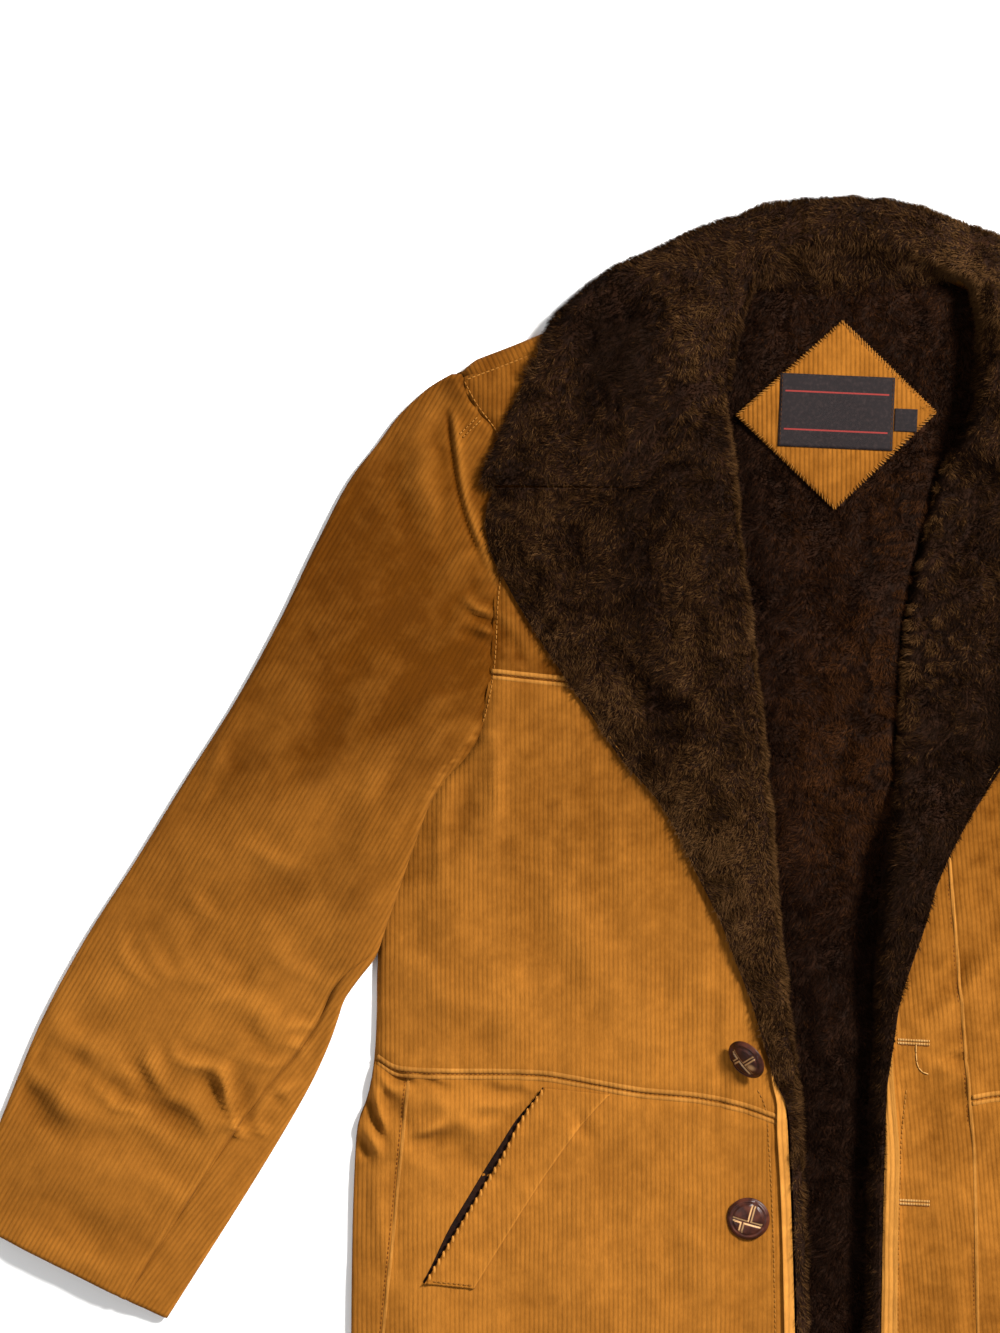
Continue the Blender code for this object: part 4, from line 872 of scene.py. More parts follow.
def collar():
    rows = [(-1, r) for r in COLLAR_ROWS] + [(1, r) for r in COLLAR_ROWS[-2::-1]]
    knots = np.array([[s * (r.right if s < 0 else r.left), r.y, r.high, s * r.bend_out, r.bend_y, s * r.edge_out, r.edge_y, r.under, r.fold, r.top] for s, r in rows], float)
    t = np.arange(len(rows))
    fine = np.linspace(0, len(rows) - 1, 150)
    table = np.stack([through(list(zip(t, knots[:, k])))(fine) for k in range(knots.shape[1])], 1)
    ways = np.gradient(table[:, 5:7], axis=0)
    out_ways = np.stack([-ways[:, 1], ways[:, 0]], 1)
    out_ways /= np.linalg.norm(out_ways, axis=1)[:, None]
    stand, ridge, leaf, curl, tuck = 10, 10, 36, 12, 5
    grid = []
    for (cx, cy, high, bx, by, ex, ey, under, fold, top_z), n in zip(table, out_ways):
        side = -1 if cx < 0 else 1
        crest, bend, edge = np.array([cx, cy]), np.array([bx, by]), np.array([ex, ey])
        back_ = float(smooth(335, 365, cy))
        foot = np.array([cx * (57 / 58 if abs(cx) > 20 else 1), min(cy, NECK - 3 + 7 * (cx / 60) ** 2)])
        foot_z = 6.2 + 5.0 * (1 - back_)
        radius = 10.0 if fold >= 0.999 else 6.0 + 4.0 * fold
        root = edge - n * radius
        away = bend - crest
        away /= max(np.linalg.norm(away), 1e-6)
        reach = 9.0
        high += 3.0 * (1 - back_) if side > 0 else -2.0 * (1 - back_)
        top = np.array([*(crest + away * reach), high + ((1 - back_) * (5.5 if side > 0 else 1.0))])
        low = np.array([*foot, foot_z])
        knee = np.array([*(crest + (foot - crest) * 0.12), high - 6])
        pts = []
        for k in range(stand):
            s = k / stand
            p = low + (knee - low) * s
            p[2] -= 2.2 * math.sin(math.pi * s) * back_
            pts.append(p)
        corner = np.array([*crest, high + 0.6])
        for k in range(ridge):
            s = k / ridge
            pts.append(knee * (1 - s) ** 2 + corner * 2 * s * (1 - s) + top * s * s)
        plan = resample([top[:2], bend, root], np.linspace(0, 1, leaf, endpoint=False))
        span = np.linalg.norm(root - top[:2])
        for k, p in enumerate(plan):
            s = k / leaf
            z = high + (top_z - high) * s + 3.0 * math.sin(math.pi * s) * min(1.0, span / 60)
            if side < 0:
                z += (1 - back_) * (7.0 * math.exp(-((s * span - 16) / 24) ** 2) - 3.0 * math.exp(-(s * span / 14) ** 2))
            else:
                z += (1 - back_) * 7.0 * math.exp(-(s * span / 36) ** 2)
            pts.append(np.array([*p, z]))
        spread = math.pi * fold
        for k in range(curl + 1):
            a = spread * k / curl
            if fold > 0.02:
                far, drop = math.sin(a) * radius, (1 - math.cos(a)) * top_z / 2
            else:
                far, drop = 3.0 * k / curl, 1.2 * (k / curl) ** 2
            pts.append(np.array([*(root + n * far), top_z - drop]))
        last = pts[-1]
        ahead = np.array([*(n * math.cos(spread)), -math.sin(spread)])
        for k in range(1, tuck + 1):
            p = last + ahead * under * k / tuck
            if fold < 0.02:
                p = p - np.array([0, 0, 2.4 * (k / tuck) ** 2])
            pts.append(p)
        grid.append(pts)
    grid = np.array(grid)
    out, y = np.abs(grid[..., 0]), grid[..., 1]
    side_of = np.where(grid[..., 0] < 0, -1, 1)
    cols = np.arange(grid.shape[1])[None, :]
    on_top = smooth(stand - 6, stand + ridge, cols) * smooth(stand + ridge + leaf + 6, stand + ridge + leaf - 4, cols)
    wave = np.where(side_of < 0, creases(PILE_CREASES, out, y, -1), creases(PILE_CREASES, out, y, 1))
    grid[..., 2] += np.clip(wave, -3.2, 3.2) * on_top
    nrm = normals_of(grid)
    flip = 1.0 if nrm[40, stand + ridge + 16, 2] > 0 else -1.0
    nrm = nrm * flip
    soft = 0.9 * noise(grid[..., 0], y, 13, 50) + 0.5 * noise(grid[..., 0], y, 6, 51)
    grid = grid + nrm * soft[..., None] * 0.8
    grid[..., 2] = np.maximum(grid[..., 2], 0.3)
    inner = grid - nrm * 3.5
    inner[..., 2] = np.maximum(inner[..., 2], 0.4)
    ground = slab("collar_pile", grid, inner, pile_ground)
    shown = grid if flip > 0 else grid[:, ::-1]
    strands = fibres("collar_fibres", shown, 87000, 5.0, (-0.3, -1.0), 1.0, keep=lambda px, py, pz: 0.45 + 0.55 * (pz > 8),
                     painted_light_and_shade=collar_shade)
    declare("collar")


# ------------------------------------------------------------------ sleeves
def sleeve(side, mark):
    v = np.linspace(0, 1, 224)
    v = v - 0.035 * np.sin(2 * np.pi * (v - 0.18)) - 0.035 * math.sin(2 * math.pi * 0.18)      # rows closer at the crook of the arm
    v = (v - v[0]) / (v[-1] - v[0])
    arm_ys = np.linspace(291, 27, 120)
    outer_ys = np.linspace(291, -262, 300)
    inner_ys = np.linspace(25, -329, 200)
    a = resample(np.stack([sleeve_out(outer_ys), outer_ys], 1), v)
    b = resample(np.concatenate([np.stack([body_out(arm_ys), arm_ys], 1), np.stack([sleeve_in(inner_ys), inner_ys], 1)]), v)
    length = np.linalg.norm(b - a, axis=1)[:, None]
    low_y = b[:, 1:2]
    free = smooth(30, 4, low_y)                     # 1 where the inner edge is a fold, 0 along the armhole seam
    clear = smooth(-78, -112, low_y)                # 1 where the under sleeve comes round to the forearm seam
    seam = seam_in(b[:, 1])[:, None]
    out_fold, in_fold = np.minimum(6.0, 0.4 * length), np.minimum(5.0, 0.4 * length)
    small = np.minimum(1.0, 0.80 + length / 80)

    def deep(far):
        """Thickness of the flattened tube: soft in the middle, pressed thin at its folds."""
        mid, outer, inner = 14.5 * small, 6.0 * small, (7.0 * free + 12.8 * (1 - free)) * small
        thick = mid - (mid - outer) * (1 - smooth(-6, 52, far)) - (mid - inner) * (1 - smooth(-4, 48, length - far))
        sewn = (1 - free) * np.exp(-((length - far) / 16) ** 2)
        return thick + sewn * np.maximum(12.6 * smooth(-14, 10, length) - thick, 0)

    def lay(far, rise, top):
        """Points from a distance in from the outer edge and a height over what is below, with a fourth value for the
        colour: painted light and shade from the height of the wrinkles and from painted highlights.
        """
        p = a[:, None, :] + (b - a)[:, None, :] * (far / length)[..., None]
        out, y = p[..., 0], p[..., 1]
        on_body = smooth(-45, -12, body_out(y) - out) * (1 - smooth(27, 70, y))
        base = on_body * (2.2 + 6.5 * smooth(60, 6, length - far) * smooth(36, 8, y))
        inner = length - far
        wave = creases(SLEEVE_CREASES, out, y, side) + 0.8 * noise(out * side, y, 38, 60) + 0.4 * noise(out * side, y, 15, 61)
        seam_far = inner - seam
        wave = wave + pucker(y + out, seam_far, 15, 1.0, 12) * smooth(-70, -120, y)
        wave = wave + pucker(y, inner, 12, 0.9, 10) * smooth(30, 70, y)
        fold = out - fold_out(y) - (0 if side < 0 else 2.5)
        long = smooth(272, 254, y) * smooth(150, 190, y)
        wave = wave + long * (2.9 * np.exp(-((fold + 3.6) / 3.4) ** 2) - 2.0 * np.exp(-((fold - 1.2) / 1.7) ** 2))
        calm = smooth(0, 9, far) * (smooth(0, 12, inner) * free + (1 - free))
        dip = (-1.3 * np.exp(-(inner / 3.6) ** 2) - 1.6 * smooth(0.5, -3, inner)) * smooth(20, 60, y)
        groove = -0.8 * np.exp(-(seam_far / 2.0) ** 2) * smooth(-95, -120, y)
        groove = groove + (0.8 * np.exp(-((seam_far - 3.4) / 1.8) ** 2) + 0.7 * np.exp(-((seam_far + 3.2) / 1.8) ** 2)) * smooth(-95, -120, y)
        relief_and_painted_light = top * (np.clip(wave, -5, 6) * calm + dip + groove)
        # painted highlight and shade: light lines along the inner fold, beside the armhole and the forearm seam and
        # along the underarm edge, a light patch on the head of the sleeve, and a light and a dark line along the head's
        # fold
        painted_highlight_and_shade = 3.4 * np.exp(-(inner / 2.6) ** 2) * free + 2.0 * np.exp(-((inner - 3.0) / 2.2) ** 2) * (1 - free) * (0.5 + 0.9 * noise(y, inner * 0, 5, 96)) + 1.6 * np.exp(-((seam_far - 3.4) / 1.8) ** 2) * smooth(-95, -120, y)
        painted_highlight_and_shade = painted_highlight_and_shade + 5.5 * np.exp(-((inner - 1.0) / 3.4) ** 2) * smooth(70, 50, y) * smooth(-16, 10, y) * (0.6 + 0.9 * noise(y, out, 3.5, 101))
        painted_highlight_and_shade = painted_highlight_and_shade + 2.4 * np.exp(-((out - 265) / 8) ** 2 - ((y - 266) / 13) ** 2)
        painted_highlight_and_shade = painted_highlight_and_shade + smooth(272, 254, y) * smooth(112, 150, y) * 3.2 * np.exp(-((fold + 2.8) / 2.4) ** 2) - long * 2.2 * np.exp(-((fold - 1.0) / 1.2) ** 2)
        return np.stack([side * out, y, np.maximum(base + rise + relief_and_painted_light, 0.3), relief_and_painted_light + painted_highlight_and_shade], -1)

    def top_piece(skin):
        start = length - 0.5 - clear * (seam - 0.3) + 3.0 * (1 - free)
        far_t = start + (out_fold - start) * np.linspace(0, 1, 62)[None, :]
        over = free * dome((length - far_t) / in_fold) + (1 - free)
        rise_t = deep(far_t) * (0.5 + 0.5 * over) - skin
        ang = np.linspace(0, np.pi, 13)[None, 1:]
        edge = deep(out_fold)
        far_f = out_fold - (out_fold - skin * 0.5) * np.sin(ang)
        rise_f = edge / 2 + (edge / 2 - skin) * np.cos(ang)
        far_b = out_fold + np.minimum(18.0, 0.2 * length) * np.linspace(0, 1, 3)[None, 1:]
        on = np.concatenate([np.ones_like(far_t), (0.5 + 0.5 * np.cos(ang)) ** 0.7 + 0 * far_f, 0 * far_b], 1)
        return lay(np.concatenate([far_t, far_f, far_b], 1), np.concatenate([rise_t, rise_f, skin + 0 * far_b], 1), on)

    def low_piece(skin):
        start = out_fold + np.minimum(18.0, 0.2 * length) + 0.6
        end = np.maximum(start + 1.0, length - 0.8 - free * (in_fold - 0.8))
        far_b = start + (end - start) * np.linspace(0, 1, 13)[None, :]
        part = np.linspace(0, 1, 10)[None, 1:]
        ang = part * np.pi * free
        edge = deep(length - in_fold)
        tuck = 0.9 * (1 - clear) * part               # lies just inside the upper sleeve where that covers it
        far_f = end + (in_fold - skin * 0.5 - tuck) * np.sin(ang) * free + (1 - free) * part * 0.4
        rise_f = edge / 2 - (edge / 2 - skin) * np.cos(ang) - tuck * free
        back_ = np.maximum(seam - in_fold, 0.2)
        step = np.linspace(0, 1, 9)[None, 1:]
        gone = (back_ + 3.0 * clear) * step
        far_t = far_f[:, -1:] - free * gone + (1 - free) * step * 0.2
        rise_t = rise_f[:, -1:] + (deep(far_t) - edge) * free - 2.4 * clear * smooth(-1.6, 1.0, gone - back_)
        on = np.concatenate([0 * far_b, ((0.5 - 0.5 * np.cos(ang)) ** 0.7) * free + 0 * far_f, free + 0 * far_t], 1)
        return lay(np.concatenate([far_b, far_f, far_t], 1), np.concatenate([skin + 0 * far_b, rise_f, rise_t], 1), on)

    for name, piece, lean in ((f"sleeve_top_{mark}", top_piece, 30), (f"sleeve_under_{mark}", low_piece, 37)):
        top, low = piece(0.0), piece(2.0)[..., :3]
        # crest: painted light and shade for the cloth's colour
        crest, top = top[..., 3], top[..., :3]
        c, d = math.cos(math.radians(lean)), math.sin(math.radians(lean))
        out, y = top[..., 0] * side, top[..., 1]
        uv = np.stack([side * (out * c + y * d), out * d - y * c], -1)      # ribs run down the arm
        made = slab(f"{name}_cloth", top, low, sleeve_cord, uv, crest)
        sewn = []
        if piece is top_piece:
            for off in (-1.5, 1.5):
                f = np.linspace(0, 1, 12)
                o, q = 248.5 - 12.6 * f + 0.70 * off, 250.4 + 12.2 * f + 0.72 * off
                near = ((out[None] - o[:, None, None]) ** 2 + (y[None] - q[:, None, None]) ** 2).reshape(12, -1)
                high = np.array([top[..., 2].ravel()[np.argsort(d)[:6]].max() for d in near])
                sewn += dashes(np.stack([side * o, q, high + 0.15], -1), 2.2, 0.6)
            sewn = [stitches(f"head_stitches_{mark}", sewn, thread, 0.9, 0.6)]
        declare(name)


# ------------------------------------------------------------------ small pieces
def front_height(out, y, side):
    return front_low(out, y) + SHELL + front_wave(out, y, side)


def stitches(name, runs, look, width=0.75, tall=0.55):
    """Runs of sewn stitches: each stitch a small rounded bar between two points on the cloth. A run is a list of (start, end) pairs."""
    verts, quads = [], []
    for p, q in runs:
        p, q = np.array(p, float), np.array(q, float)
        way = q - p
        size = np.linalg.norm(way)
        if size < 1e-6:
            continue
        way /= size
        across = np.cross(way, [0, 0, 1.0])
        across /= max(np.linalg.norm(across), 1e-6)
        up = np.cross(across, way)
        k = len(verts)
        for f, g in ((0.0, 0.35), (0.22, 1.0), (0.78, 1.0), (1.0, 0.35)):
            c = p + way * size * f
            for s, h in ((-1, 0.0), (-0.55, 1.0), (0.55, 1.0), (1, 0.0)):
                verts.append(c + across * s * width / 2 * (0.6 + 0.4 * g) + up * (h * tall * g - 0.15))
        for r in range(3):
            for c in range(4):
                d = (c + 1) % 4
                quads.append((k + r * 4 + c, k + r * 4 + d, k + r * 4 + 4 + d, k + r * 4 + 4 + c))
        quads.append((k + 3, k + 2, k + 1, k))
        quads.append((k + 12, k + 13, k + 14, k + 15))
    made = build(name, np.array(verts), np.array(quads), look)
    return made


def dashes(points, length=2.6, gap=0.7):
    """Splits a polyline into stitches."""
    p = np.array(points, float)
    run = np.concatenate([[0], np.cumsum(np.linalg.norm(np.diff(p, axis=0), axis=1))])
    starts = np.arange(0, run[-1] - length, length + gap)
    at = lambda d: np.stack([np.interp(d, run, p[:, k]) for k in range(3)], -1)
    return list(zip(at(starts), at(starts + length)))


def ridge(name, side, outs, ys, width, tall, look):
    """A narrow rounded ridge where the seam allowance is turned and sewn down."""
    z = front_height(outs, ys, side)
    way = np.stack([np.gradient(side * outs), np.gradient(ys)], -1)
    way /= np.linalg.norm(way, axis=1)[:, None]
    across = np.stack([-way[:, 1], way[:, 0]], -1)
    k = np.array([-1, -0.72, 0, 0.72, 1])[None, :]
    x, y = (side * outs)[:, None] + across[:, :1] * k * width / 2, ys[:, None] + across[:, 1:] * k * width / 2
    plump = 1 + 0.18 * noise(outs, ys, 6, 95)[:, None]
    top = z[:, None] + tall * np.sqrt(1 - k * k) * plump - 0.1
    made = plan_slab(name, x, y, np.broadcast_to(z[:, None] - 0.5, top.shape), top, look)
    return made


def seams(side, mark):
    runs, dark = [], []

    def line(outs, ys, lift=0.1):
        outs, ys = np.asarray(outs, float), np.asarray(ys, float)
        return np.stack([side * outs, ys, front_height(outs, ys, side) + lift], -1)

    outs = np.linspace(229, 60, 130)
    keep = outs > lapel_out[side](yoke_y(outs) + 2) - 4
    on_yoke = [ridge(f"yoke_cord_{mark}", side, outs[keep], yoke_y(outs[keep]) + 3.5, 3.4, 1.0, seam_cord)]
    on_front = [ridge(f"yoke_ridge_{mark}", side, outs[keep], yoke_y(outs[keep]) - 0.8, 2.8, 0.7, seam_cord)]
    dark += dashes(line(outs[keep], yoke_y(outs[keep]) + 1.5), 1.7, 1.35)
    outs = np.linspace(304, 24, 210)
    keep = outs > (lapel_out[side](waist_y(outs) + 2) + 3 if side < 0 else band_out(waist_y(outs)) + 1)
    on_front.append(ridge(f"waist_cord_{mark}", side, outs[keep], waist_y(outs[keep]) + 3.3, 3.6, 1.15, seam_cord))
    on_skirt = [ridge(f"waist_ridge_{mark}", side, outs[keep], waist_y(outs[keep]) - 1.2, 3.0, 0.75, seam_cord)]
    dark += dashes(line(outs[keep], waist_y(outs[keep]) + 1.2), 1.7, 1.35)
    outs = np.linspace(245, 120, 160)
    runs += dashes(line(outs, shoulder_y(outs) - 7.5))
    ys = np.linspace(waist_y(283) - 2.5, HEM + 4, 150)
    on_skirt.append(ridge(f"side_ridge_{mark}", side, 283 + (waist_y(283) - ys) * 0.10, ys, 2.6, 0.7, seam_cord))
    dark += dashes(line(285.2 + (waist_y(283) - ys) * 0.10, ys), 1.9, 1.2)
    ys = np.linspace(-178, HEM + 6, 200)          # along the front edge
    runs += dashes(line(lapel_out[side](ys) + 12.5, ys))
    ys = np.concatenate([np.linspace(286, 246, 60)])
    runs += dashes(line(body_out(ys) - 1.8, ys))
    ys = np.linspace(165, 34, 120)
    runs += dashes(line(body_out(ys) - 2.0, ys))
    if side > 0:
        ys = np.linspace(-6, HEM + 5, 170)
        on_front.append(ridge("band_ridge", side, band_out(ys) + 0.8, ys, 2.6, 0.75, seam_cord))
        dark += dashes(line(band_out(ys) - 1.4, ys), 1.8, 1.3)
        hole, slit = [], []
        for level in (-147, -252, -357):
            for k in np.arange(-10, 10.5, 1.05):
                for s in (-1, 1):
                    o, q = np.array([47.5 + k] * 2), level + 0.3 - 0.05 * k + s * np.array([0.3, 1.9])
                    hole.append(tuple(line(o, q, 0.25)))
            o = np.linspace(38.5, 57.5, 5)
            q = level - 1.9 - 0.05 * (o - 47.5)
            ends = line(o, q, 0.05)
            slit += list(zip(ends[:-1], ends[1:]))
        o, q = np.array([49, 49, 49.4, 50.6, 53.2, 57.0]), np.array([-148.4, -154, -159.5, -163.5, -166.3, -167.7])
        ends = line(o, q, 0.4)
        slit_dark = stitches("buttonhole_slits", slit, seam_thread, 0.9, 0.3)
        loose = stitches("loose_thread", list(zip(ends[:-1], ends[1:])), pale_thread, 0.9, 0.6)
        on_skirt += [stitches("buttonhole_stitches", hole, pale_thread, 0.9, 0.6), slit_dark, loose]
    on_front += [stitches(f"seam_stitches_{mark}", runs, thread, 0.9, 0.6), stitches(f"seam_dashes_{mark}", dark, seam_thread, 0.8, 0.3)]
    return on_yoke, on_front, on_skirt


def pocket(side, mark):
    top, run = np.array([194.8, -176.5]), np.array([0.520, -0.854])
    cross = np.array([-0.97, -0.10])
    v, u = np.linspace(0, 1, 150)[:, None], np.linspace(0, 1, 30)[None, :]
    u = u - 0.10 * np.sin(2 * np.pi * u)                 # columns closer at the edges
    bend = lambda f: 2.2 * np.exp(-((f - 0.17) / 0.11) ** 2)
    wide = 33.5 + 11.5 * np.exp(-v / 0.22)
    out = top[0] + v * 150 * run[0] + u * wide * cross[0] + bend(v) * (1 - u)
    y = top[1] + v * 150 * run[1] + u * wide * cross[1]
    ground = front_height(out, y, side)
    lip = 1.8 * np.exp(-(u * wide / 4.0) ** 2)
    tooth = -np.cos(2 * np.pi * out / (PITCH * 1000)) * np.exp(-(u * wide / 2.6) ** 2)      # rib ends over the folded edge
    border = 1.2 * np.exp(-((1 - u) * wide / 2.4) ** 2) - 1.3 * smooth(0.975, 1.0, u)
    sag = 0.5 * noise(out, y, 16, 70) + 0.25 * noise(out, y, 7, 71)
    high = ground + 1.5 + lip + 0.8 * tooth + border + sag
    # painted light and shade: lighter rib ends on the lip and a lighter border, darker along the lip's edge
    crest = 3.0 * tooth - 2.0 * np.exp(-(u * wide / 3.0) ** 2) + 7.5 * np.exp(-((1 - u) * wide / 2.6) ** 2) + 0.8
    made = plan_slab(f"welt_{mark}", side * out, y, ground + 0.2, high, front_cord, crest=crest)
    # the ends of the ribs, rolled over the lip
    f = np.linspace(0.012, 0.975, 3000)
    ribs = (top[0] + f * 150 * run[0] + bend(f)) / (PITCH * 1000) - 0.5
    ends = np.flatnonzero(np.diff(np.floor(ribs)) != 0)
    a, b = np.linspace(0, 2 * np.pi, 9)[:-1][None, :], np.linspace(0.12, np.pi - 0.12, 6)[:, None]
    verts, quads = [], []
    for e in ends:
        o, q = top[0] + f[e] * 150 * run[0] + bend(f[e]) - 0.5, top[1] + f[e] * 150 * run[1] - 0.6
        z = float(front_height(o, q, side)) + 2.7
        long = 2.2 + 0.5 * rng.random()
        ball = np.stack([side * o + 1.0 * np.sin(b) * np.cos(a), q + long * np.cos(b) + 0 * a, z + 1.35 * np.sin(b) * np.sin(a)], -1)
        k = np.arange(48).reshape(6, 8) + 48 * len(verts)
        verts.append(ball.reshape(-1, 3))
        quads.append(np.stack([k[:-1], np.roll(k[:-1], -1, 1), np.roll(k[1:], -1, 1), k[1:]], -1).reshape(-1, 4))
        quads.append(np.array([k[0, [0, 3, 2, 1]], k[0, [0, 5, 4, 3]], k[0, [0, 7, 6, 5]], k[-1, [0, 1, 2, 3]], k[-1, [0, 3, 4, 5]], k[-1, [0, 5, 6, 7]]]))
    verts, quads = np.concatenate(verts), np.concatenate(quads)
    # painted highlight: the beads take the lighter seam copy and a raised crest
    beads = build(f"welt_beads_{mark}", verts, quads[:, ::side], seam_cord, verts[:, :2], crest=np.full(len(verts), 5.0))
    # sewn lower end of the welt
    runs = []
    for f in (0.985,):
        uu = np.linspace(0.03, 0.97, 40)
        o, yy = top[0] + f * 150 * run[0] + uu * 33.6 * cross[0], top[1] + f * 150 * run[1] + uu * 33.6 * cross[1]
        runs += dashes(np.stack([side * o, yy, front_height(o, yy, side) + 2.0], -1))
    sewn = stitches(f"welt_stitches_{mark}", runs, thread)
    # painted shadow: a thin dark sheet on the skirt where the pocket opens, wider toward its lower end, with a soft
    # edge of the skirt above it
    w, k = np.linspace(0, 1, 90)[:, None], np.linspace(0, 1, 9)[None, :]
    wide = 1.2 + 4.4 * smooth(0.0, 0.40, w) * (1 - 0.8 * smooth(0.7, 1.0, w))
    o = top[0] + w * 150 * run[0] + bend(w) + (0.6 - k * wide) * -0.85
    yy = top[1] + w * 150 * run[1] + (k * wide - 0.6) * 0.52
    z = front_height(o, yy, side)
    shadow_sheet = plan_slab(f"pocket_shadow_sheet_{mark}", side * o, yy, z - 0.1, z + 0.15, pocket_shadow_look)
    declare(f"pocket_welt_{mark}")


def neck_labels():
    left, top, right, bottom = (np.array(p, float) for p in ((-69, 264), (1, 326), (63, 266), (-4, 202)))
    u, v = np.linspace(0, 1, 46)[None, :, None], np.linspace(0, 1, 46)[:, None, None]
    p = (1 - u) * (1 - v) * bottom + u * (1 - v) * right + (1 - u) * v * left + u * v * top
    x, y = p[..., 0], p[..., 1]
    uu, vv = u[..., 0], v[..., 0]
    rim = np.minimum(np.minimum(uu, 1 - uu), np.minimum(vv, 1 - vv))
    sag = 0.6 * noise(x, y, 30, 80) + 0.3 * noise(x, y, 11, 81) - 1.2 * smooth(-50, -72, x)
    height = 9.9 + sag
    high = height + 1.2 - 1.4 * np.exp(-rim / 0.012)
    patch = plan_slab("patch_cloth", x, y, height - 0.6 - 0.9 * np.exp(-rim / 0.02), high, patch_cord)

    def surface(px, py):
        return 9.9 + 1.2 + 0.6 * noise(px, py, 30, 80) + 0.3 * noise(px, py, 11, 81) - 1.2 * smooth(-50, -72, px)

    runs = []
    corners = [left, top, right, bottom, left]
    centre = np.array([-3.0, 264.0])
    for p0, p1 in zip(corners, corners[1:]):
        for f in np.arange(0.015, 0.99, 0.027):
            f = f + rng.normal(0, 0.004)
            e = p0 + (p1 - p0) * f
            inn = e + (centre - e) / np.linalg.norm(centre - e) * (2.4 + rng.normal(0, 0.3)) + (p1 - p0) / np.linalg.norm(p1 - p0) * 1.2
            e2 = e - (centre - e) / np.linalg.norm(centre - e) * 0.7
            runs.append(((*e2, float(surface(*e2)) - 0.3), (*inn, float(surface(*inn)) + 0.15)))
    whip = stitches("patch_stitches", runs, thread, 0.62, 0.45)
    declare("label_patch")

    def tag(name, node, at, size, look, rows, cols, lift):
        turn = math.radians(-2.5)
        gx, gy = np.meshgrid(np.linspace(-0.5, 0.5, cols) * size[0], np.linspace(-0.5, 0.5, rows) * size[1])
        px, py = at[0] + math.cos(turn) * gx - math.sin(turn) * gy, at[1] + math.sin(turn) * gx + math.cos(turn) * gy
        near = np.minimum(size[0] / 2 - np.abs(gx), size[1] / 2 - np.abs(gy))
        z = surface(px, py) + lift + 0.35 * smooth(0, 9, near) + 0.25 * noise(gx, gy, 17, 83)
        made = plan_slab(name, px, py, z - 0.5, z, look, np.stack([gx, gy], -1))
        declare(node)
        return px, py, z

    runs = []
    turn = math.radians(-2.5)
    for sx in (-1, 1):
        for f in np.linspace(-0.46, 0.46, 15):
            gx, gy = sx * 36.3, f * 48
            q = np.array([-3 + math.cos(turn) * gx - math.sin(turn) * gy, 266 + math.sin(turn) * gx + math.cos(turn) * gy])
            z = float(surface(*q)) + 0.85
            runs.append(((q[0], q[1] - 1.1, z), (q[0] + 0.1, q[1] + 1.1, z)))
    edge = stitches("label_stitches", runs, dark_thread, 0.55, 0.4)
    tag("label_tape", "label", (-3, 266), (75, 48), tape, 24, 36, 0.75)
    tag("tab_tape", "size_tab", (42.5, 260.5), (15, 15), tab_tape, 16, 16, 0.45)


Button = namedtuple("Button", "x y lean")
BUTTONS = [Button(-63, -157.5, 50), Button(-61, -262, 9), Button(-60, -367, 12)]


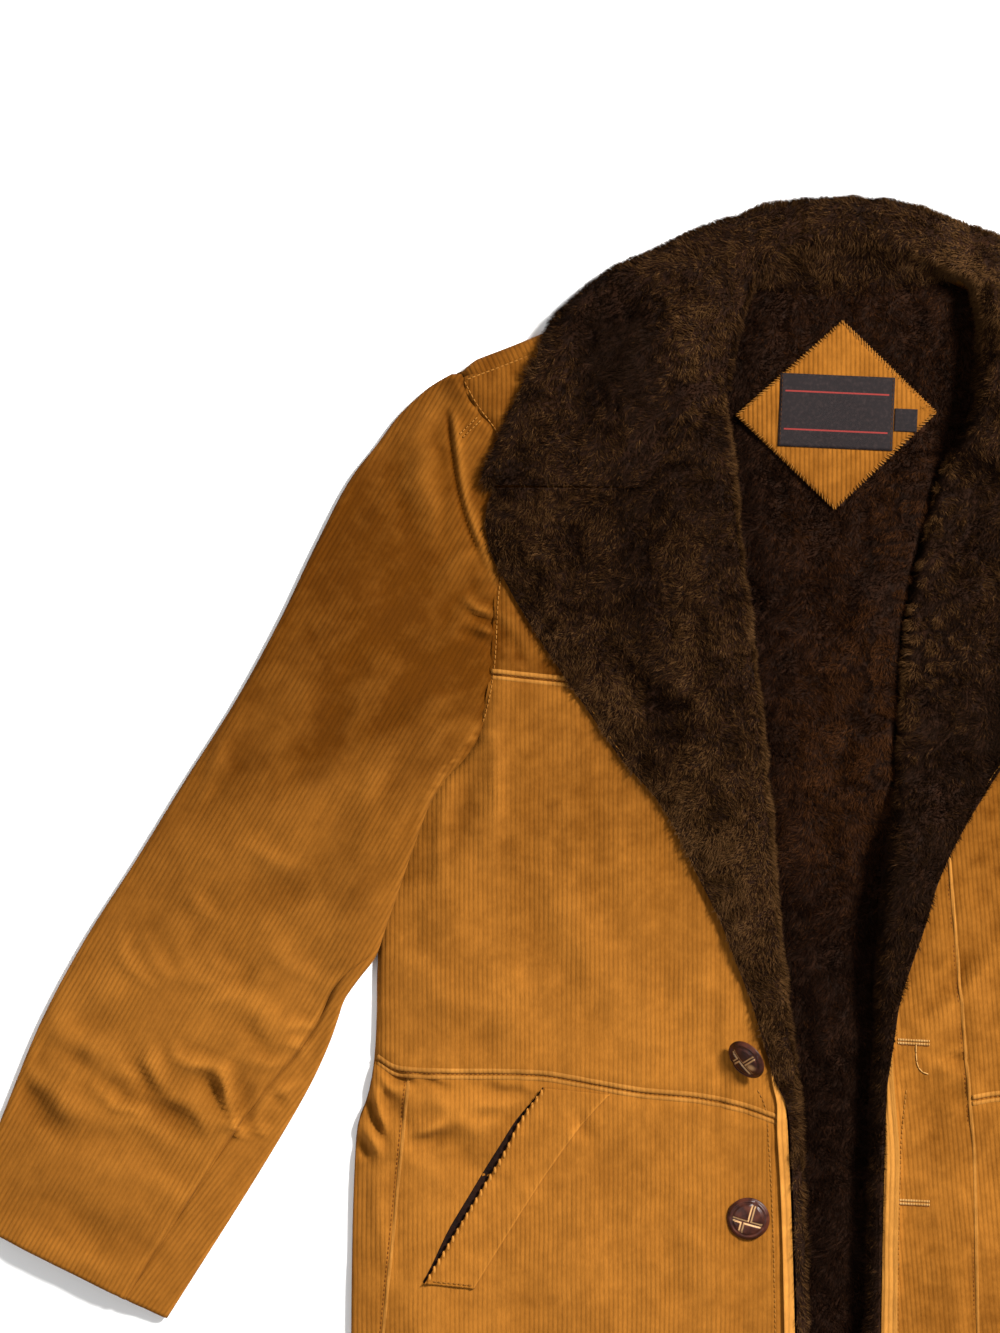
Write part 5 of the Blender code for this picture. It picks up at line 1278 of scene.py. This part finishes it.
def buttons():
    """Braided leather buttons: two pairs of straps woven over a dome, with painted highlights: cream lines along the
    strap edges and a glint, strong on the first button.
    """
    for number, b in enumerate(BUTTONS, 1):
        rings, steps = 34, 64
        r = np.linspace(0, 1, rings)[:, None]
        a = np.linspace(0, 2 * np.pi, steps, endpoint=False)[None, :]
        px, py = r * np.cos(a), r * np.sin(a)
        turn = math.radians(-52)
        qx, qy = px * math.cos(turn) + py * math.sin(turn), -px * math.sin(turn) + py * math.cos(turn)
        gap = np.minimum(np.abs(qy + 0.16), np.where(qy > -0.16, np.abs(qx - 0.10), np.abs(qx + 0.22)))       # where the straps meet
        ring = np.abs(r - 0.80) + 0 * gap
        crown = (1 - np.exp(-(gap / 0.11) ** 2)) * (1 - 0.8 * np.exp(-(ring / 0.07) ** 2))
        # painted highlight: cream lines along the edges of the straps
        line = np.exp(-((gap - 0.075) / 0.045) ** 2) * smooth(0.80, 0.72, r)
        crown = crown * smooth(1.02, 0.86, r)
        # painted glint: a light patch on one strap, strong on the first button and faint on the others
        line = np.maximum(line, (0.8 if number == 1 else 0.15) * np.exp(-((px - 0.42) / 0.30) ** 2 - ((py + 0.20) / 0.24) ** 2) * (gap > 0.12) * (r < 0.74))
        z = 3.2 * np.sqrt(np.clip(1 - (r * 0.96) ** 2, 0, 1)) - 0.9 + crown * 1.1
        top = np.stack([px * 13.4, py * 13.4, z], -1)
        rim = [(14.0, -0.2), (13.9, -0.9), (12.6, -1.7), (8.0, -2.2), (3.2, -2.5), (3.0, -6.0), (0.4, -6.0)]
        rows = [top] + [np.stack([rr * np.cos(a[0]), rr * np.sin(a[0]), np.full(steps, zz)], -1)[None] for rr, zz in rim]
        grid = np.concatenate(rows, 0)
        n_rows = grid.shape[0]
        k = np.arange(n_rows * steps).reshape(n_rows, steps)
        quads = np.stack([k[1:-1], np.roll(k[1:-1], -1, 1), np.roll(k[2:], -1, 1), k[2:]], -1).reshape(-1, 4)
        verts = grid.reshape(-1, 3)
        lean = Matrix.Rotation(math.radians(b.lean), 3, Vector((0.6, -0.8, 0.0)))
        spin = Matrix.Rotation(math.radians((0, 37, -25)[number - 1]), 3, "Z")
        turned = verts @ np.array(spin).T @ np.array(lean).T
        seat = float(front_height(-b.x, b.y, -1)) + 2.0 + 9.0 * math.sin(math.radians(b.lean))
        turned = turned + np.array([b.x, b.y, seat])
        used = np.arange(steps, n_rows * steps)
        verts_out = np.concatenate([turned[steps:], turned[:steps].mean(0)[None]])
        hub = len(verts_out) - 1
        fan = [(hub, int(k[1, j]) - steps, int(k[1, (j + 1) % steps]) - steps, hub) for j in range(steps)]
        quads = np.concatenate([quads - steps])
        made = build(f"button_braided_{number}", verts_out, quads, leather)
        me = made.data
        import bmesh
        bm = bmesh.new()
        bm.from_mesh(me)
        bm.verts.ensure_lookup_table()
        centre = bm.verts[hub]
        for _, p, q, _ in fan:
            face = bm.faces.new((centre, bm.verts[p], bm.verts[q]))
            face.smooth = True
        holes = [e for e in bm.edges if len(e.link_faces) == 1]
        bmesh.ops.holes_fill(bm, edges=holes, sides=0)
        bmesh.ops.recalc_face_normals(bm, faces=bm.faces[:])
        bm.to_mesh(me)
        bm.free()
        # the painted highlights and glint go to the leather's colour
        relief_and_painted_light = me.attributes.new("relief_and_painted_light", "FLOAT", "POINT")
        values = np.zeros(len(me.vertices))
        values[:rings * steps - steps] = np.clip(line[1:].ravel(), 0, 1)
        relief_and_painted_light.data.foreach_set("value", values.astype(np.float32))
        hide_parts(f"button_{number}")


# ------------------------------------------------------------------ room, light, camera
def room():
    size = 4.0
    me = bpy.data.meshes.new("floor")
    me.from_pydata([(-size, -size, -0.0004), (size, -size, -0.0004), (size, size, -0.0004), (-size, size, -0.0004)], [], [(0, 1, 2, 3)])
    floor = bpy.data.objects.new("floor", me)
    bpy.context.scene.collection.objects.link(floor)
    n = Nodes("pale_floor")
    n.put(n.shader.inputs["Base Color"], n.mix(n.noise(n.new("TexCoord").outputs["Object"], 3.0, 3), (0.93, 0.93, 0.93, 1), (0.96, 0.96, 0.96, 1)))
    n.shader.inputs["Roughness"].default_value = 0.95
    n.shader.inputs["Specular IOR Level"].default_value = 0.0
    me.materials.append(n.mat)

    def lamp(name, at, aim, size, power, colour=(1, 1, 1)):
        data = bpy.data.lights.new(name, "AREA")
        data.shape, data.size, data.energy, data.color = "DISK", size, power, colour
        obj = bpy.data.objects.new(name, data)
        obj.location = at
        obj.rotation_mode = "QUATERNION"
        obj.rotation_quaternion = (Vector(aim) - Vector(at)).to_track_quat("-Z", "Y")
        bpy.context.scene.collection.objects.link(obj)

    lamp("key", (1.85, 1.5, 2.4), (-0.1, 0.0, 0), 0.7, 325, (1.0, 0.985, 0.96))
    lamp("fill", (-1.9, -0.6, 2.4), (-0.1, 0, 0), 2.4, 26, (0.97, 0.985, 1.0))
    world = bpy.data.worlds.new("studio")
    world.use_nodes = True
    world.node_tree.nodes["Background"].inputs[0].default_value = (1.0, 0.995, 0.985, 1)
    world.node_tree.nodes["Background"].inputs[1].default_value = 0.40
    bpy.context.scene.world = world
    bpy.context.scene.view_settings.view_transform = "Standard"
    bpy.context.scene.view_settings.look = "None"

    data = bpy.data.cameras.new("camera")
    data.type, data.sensor_fit, data.sensor_width = "PERSP", "AUTO", 36.0
    high = 2.6
    data.lens = 36.0 * (high - 0.012) / 0.8731
    cam = bpy.data.objects.new("camera", data)
    cam.location = (-0.2234, 0.0992, high)
    bpy.context.scene.collection.objects.link(cam)
    bpy.context.scene.camera = cam


back()
back_lining()
for side, mark in ((-1, "r"), (1, "l")):
    fronts(side, mark, seams(side, mark))
    facing(side, mark)
    sleeve(side, mark)
    pocket(side, mark)
collar()
neck_labels()
buttons()
room()
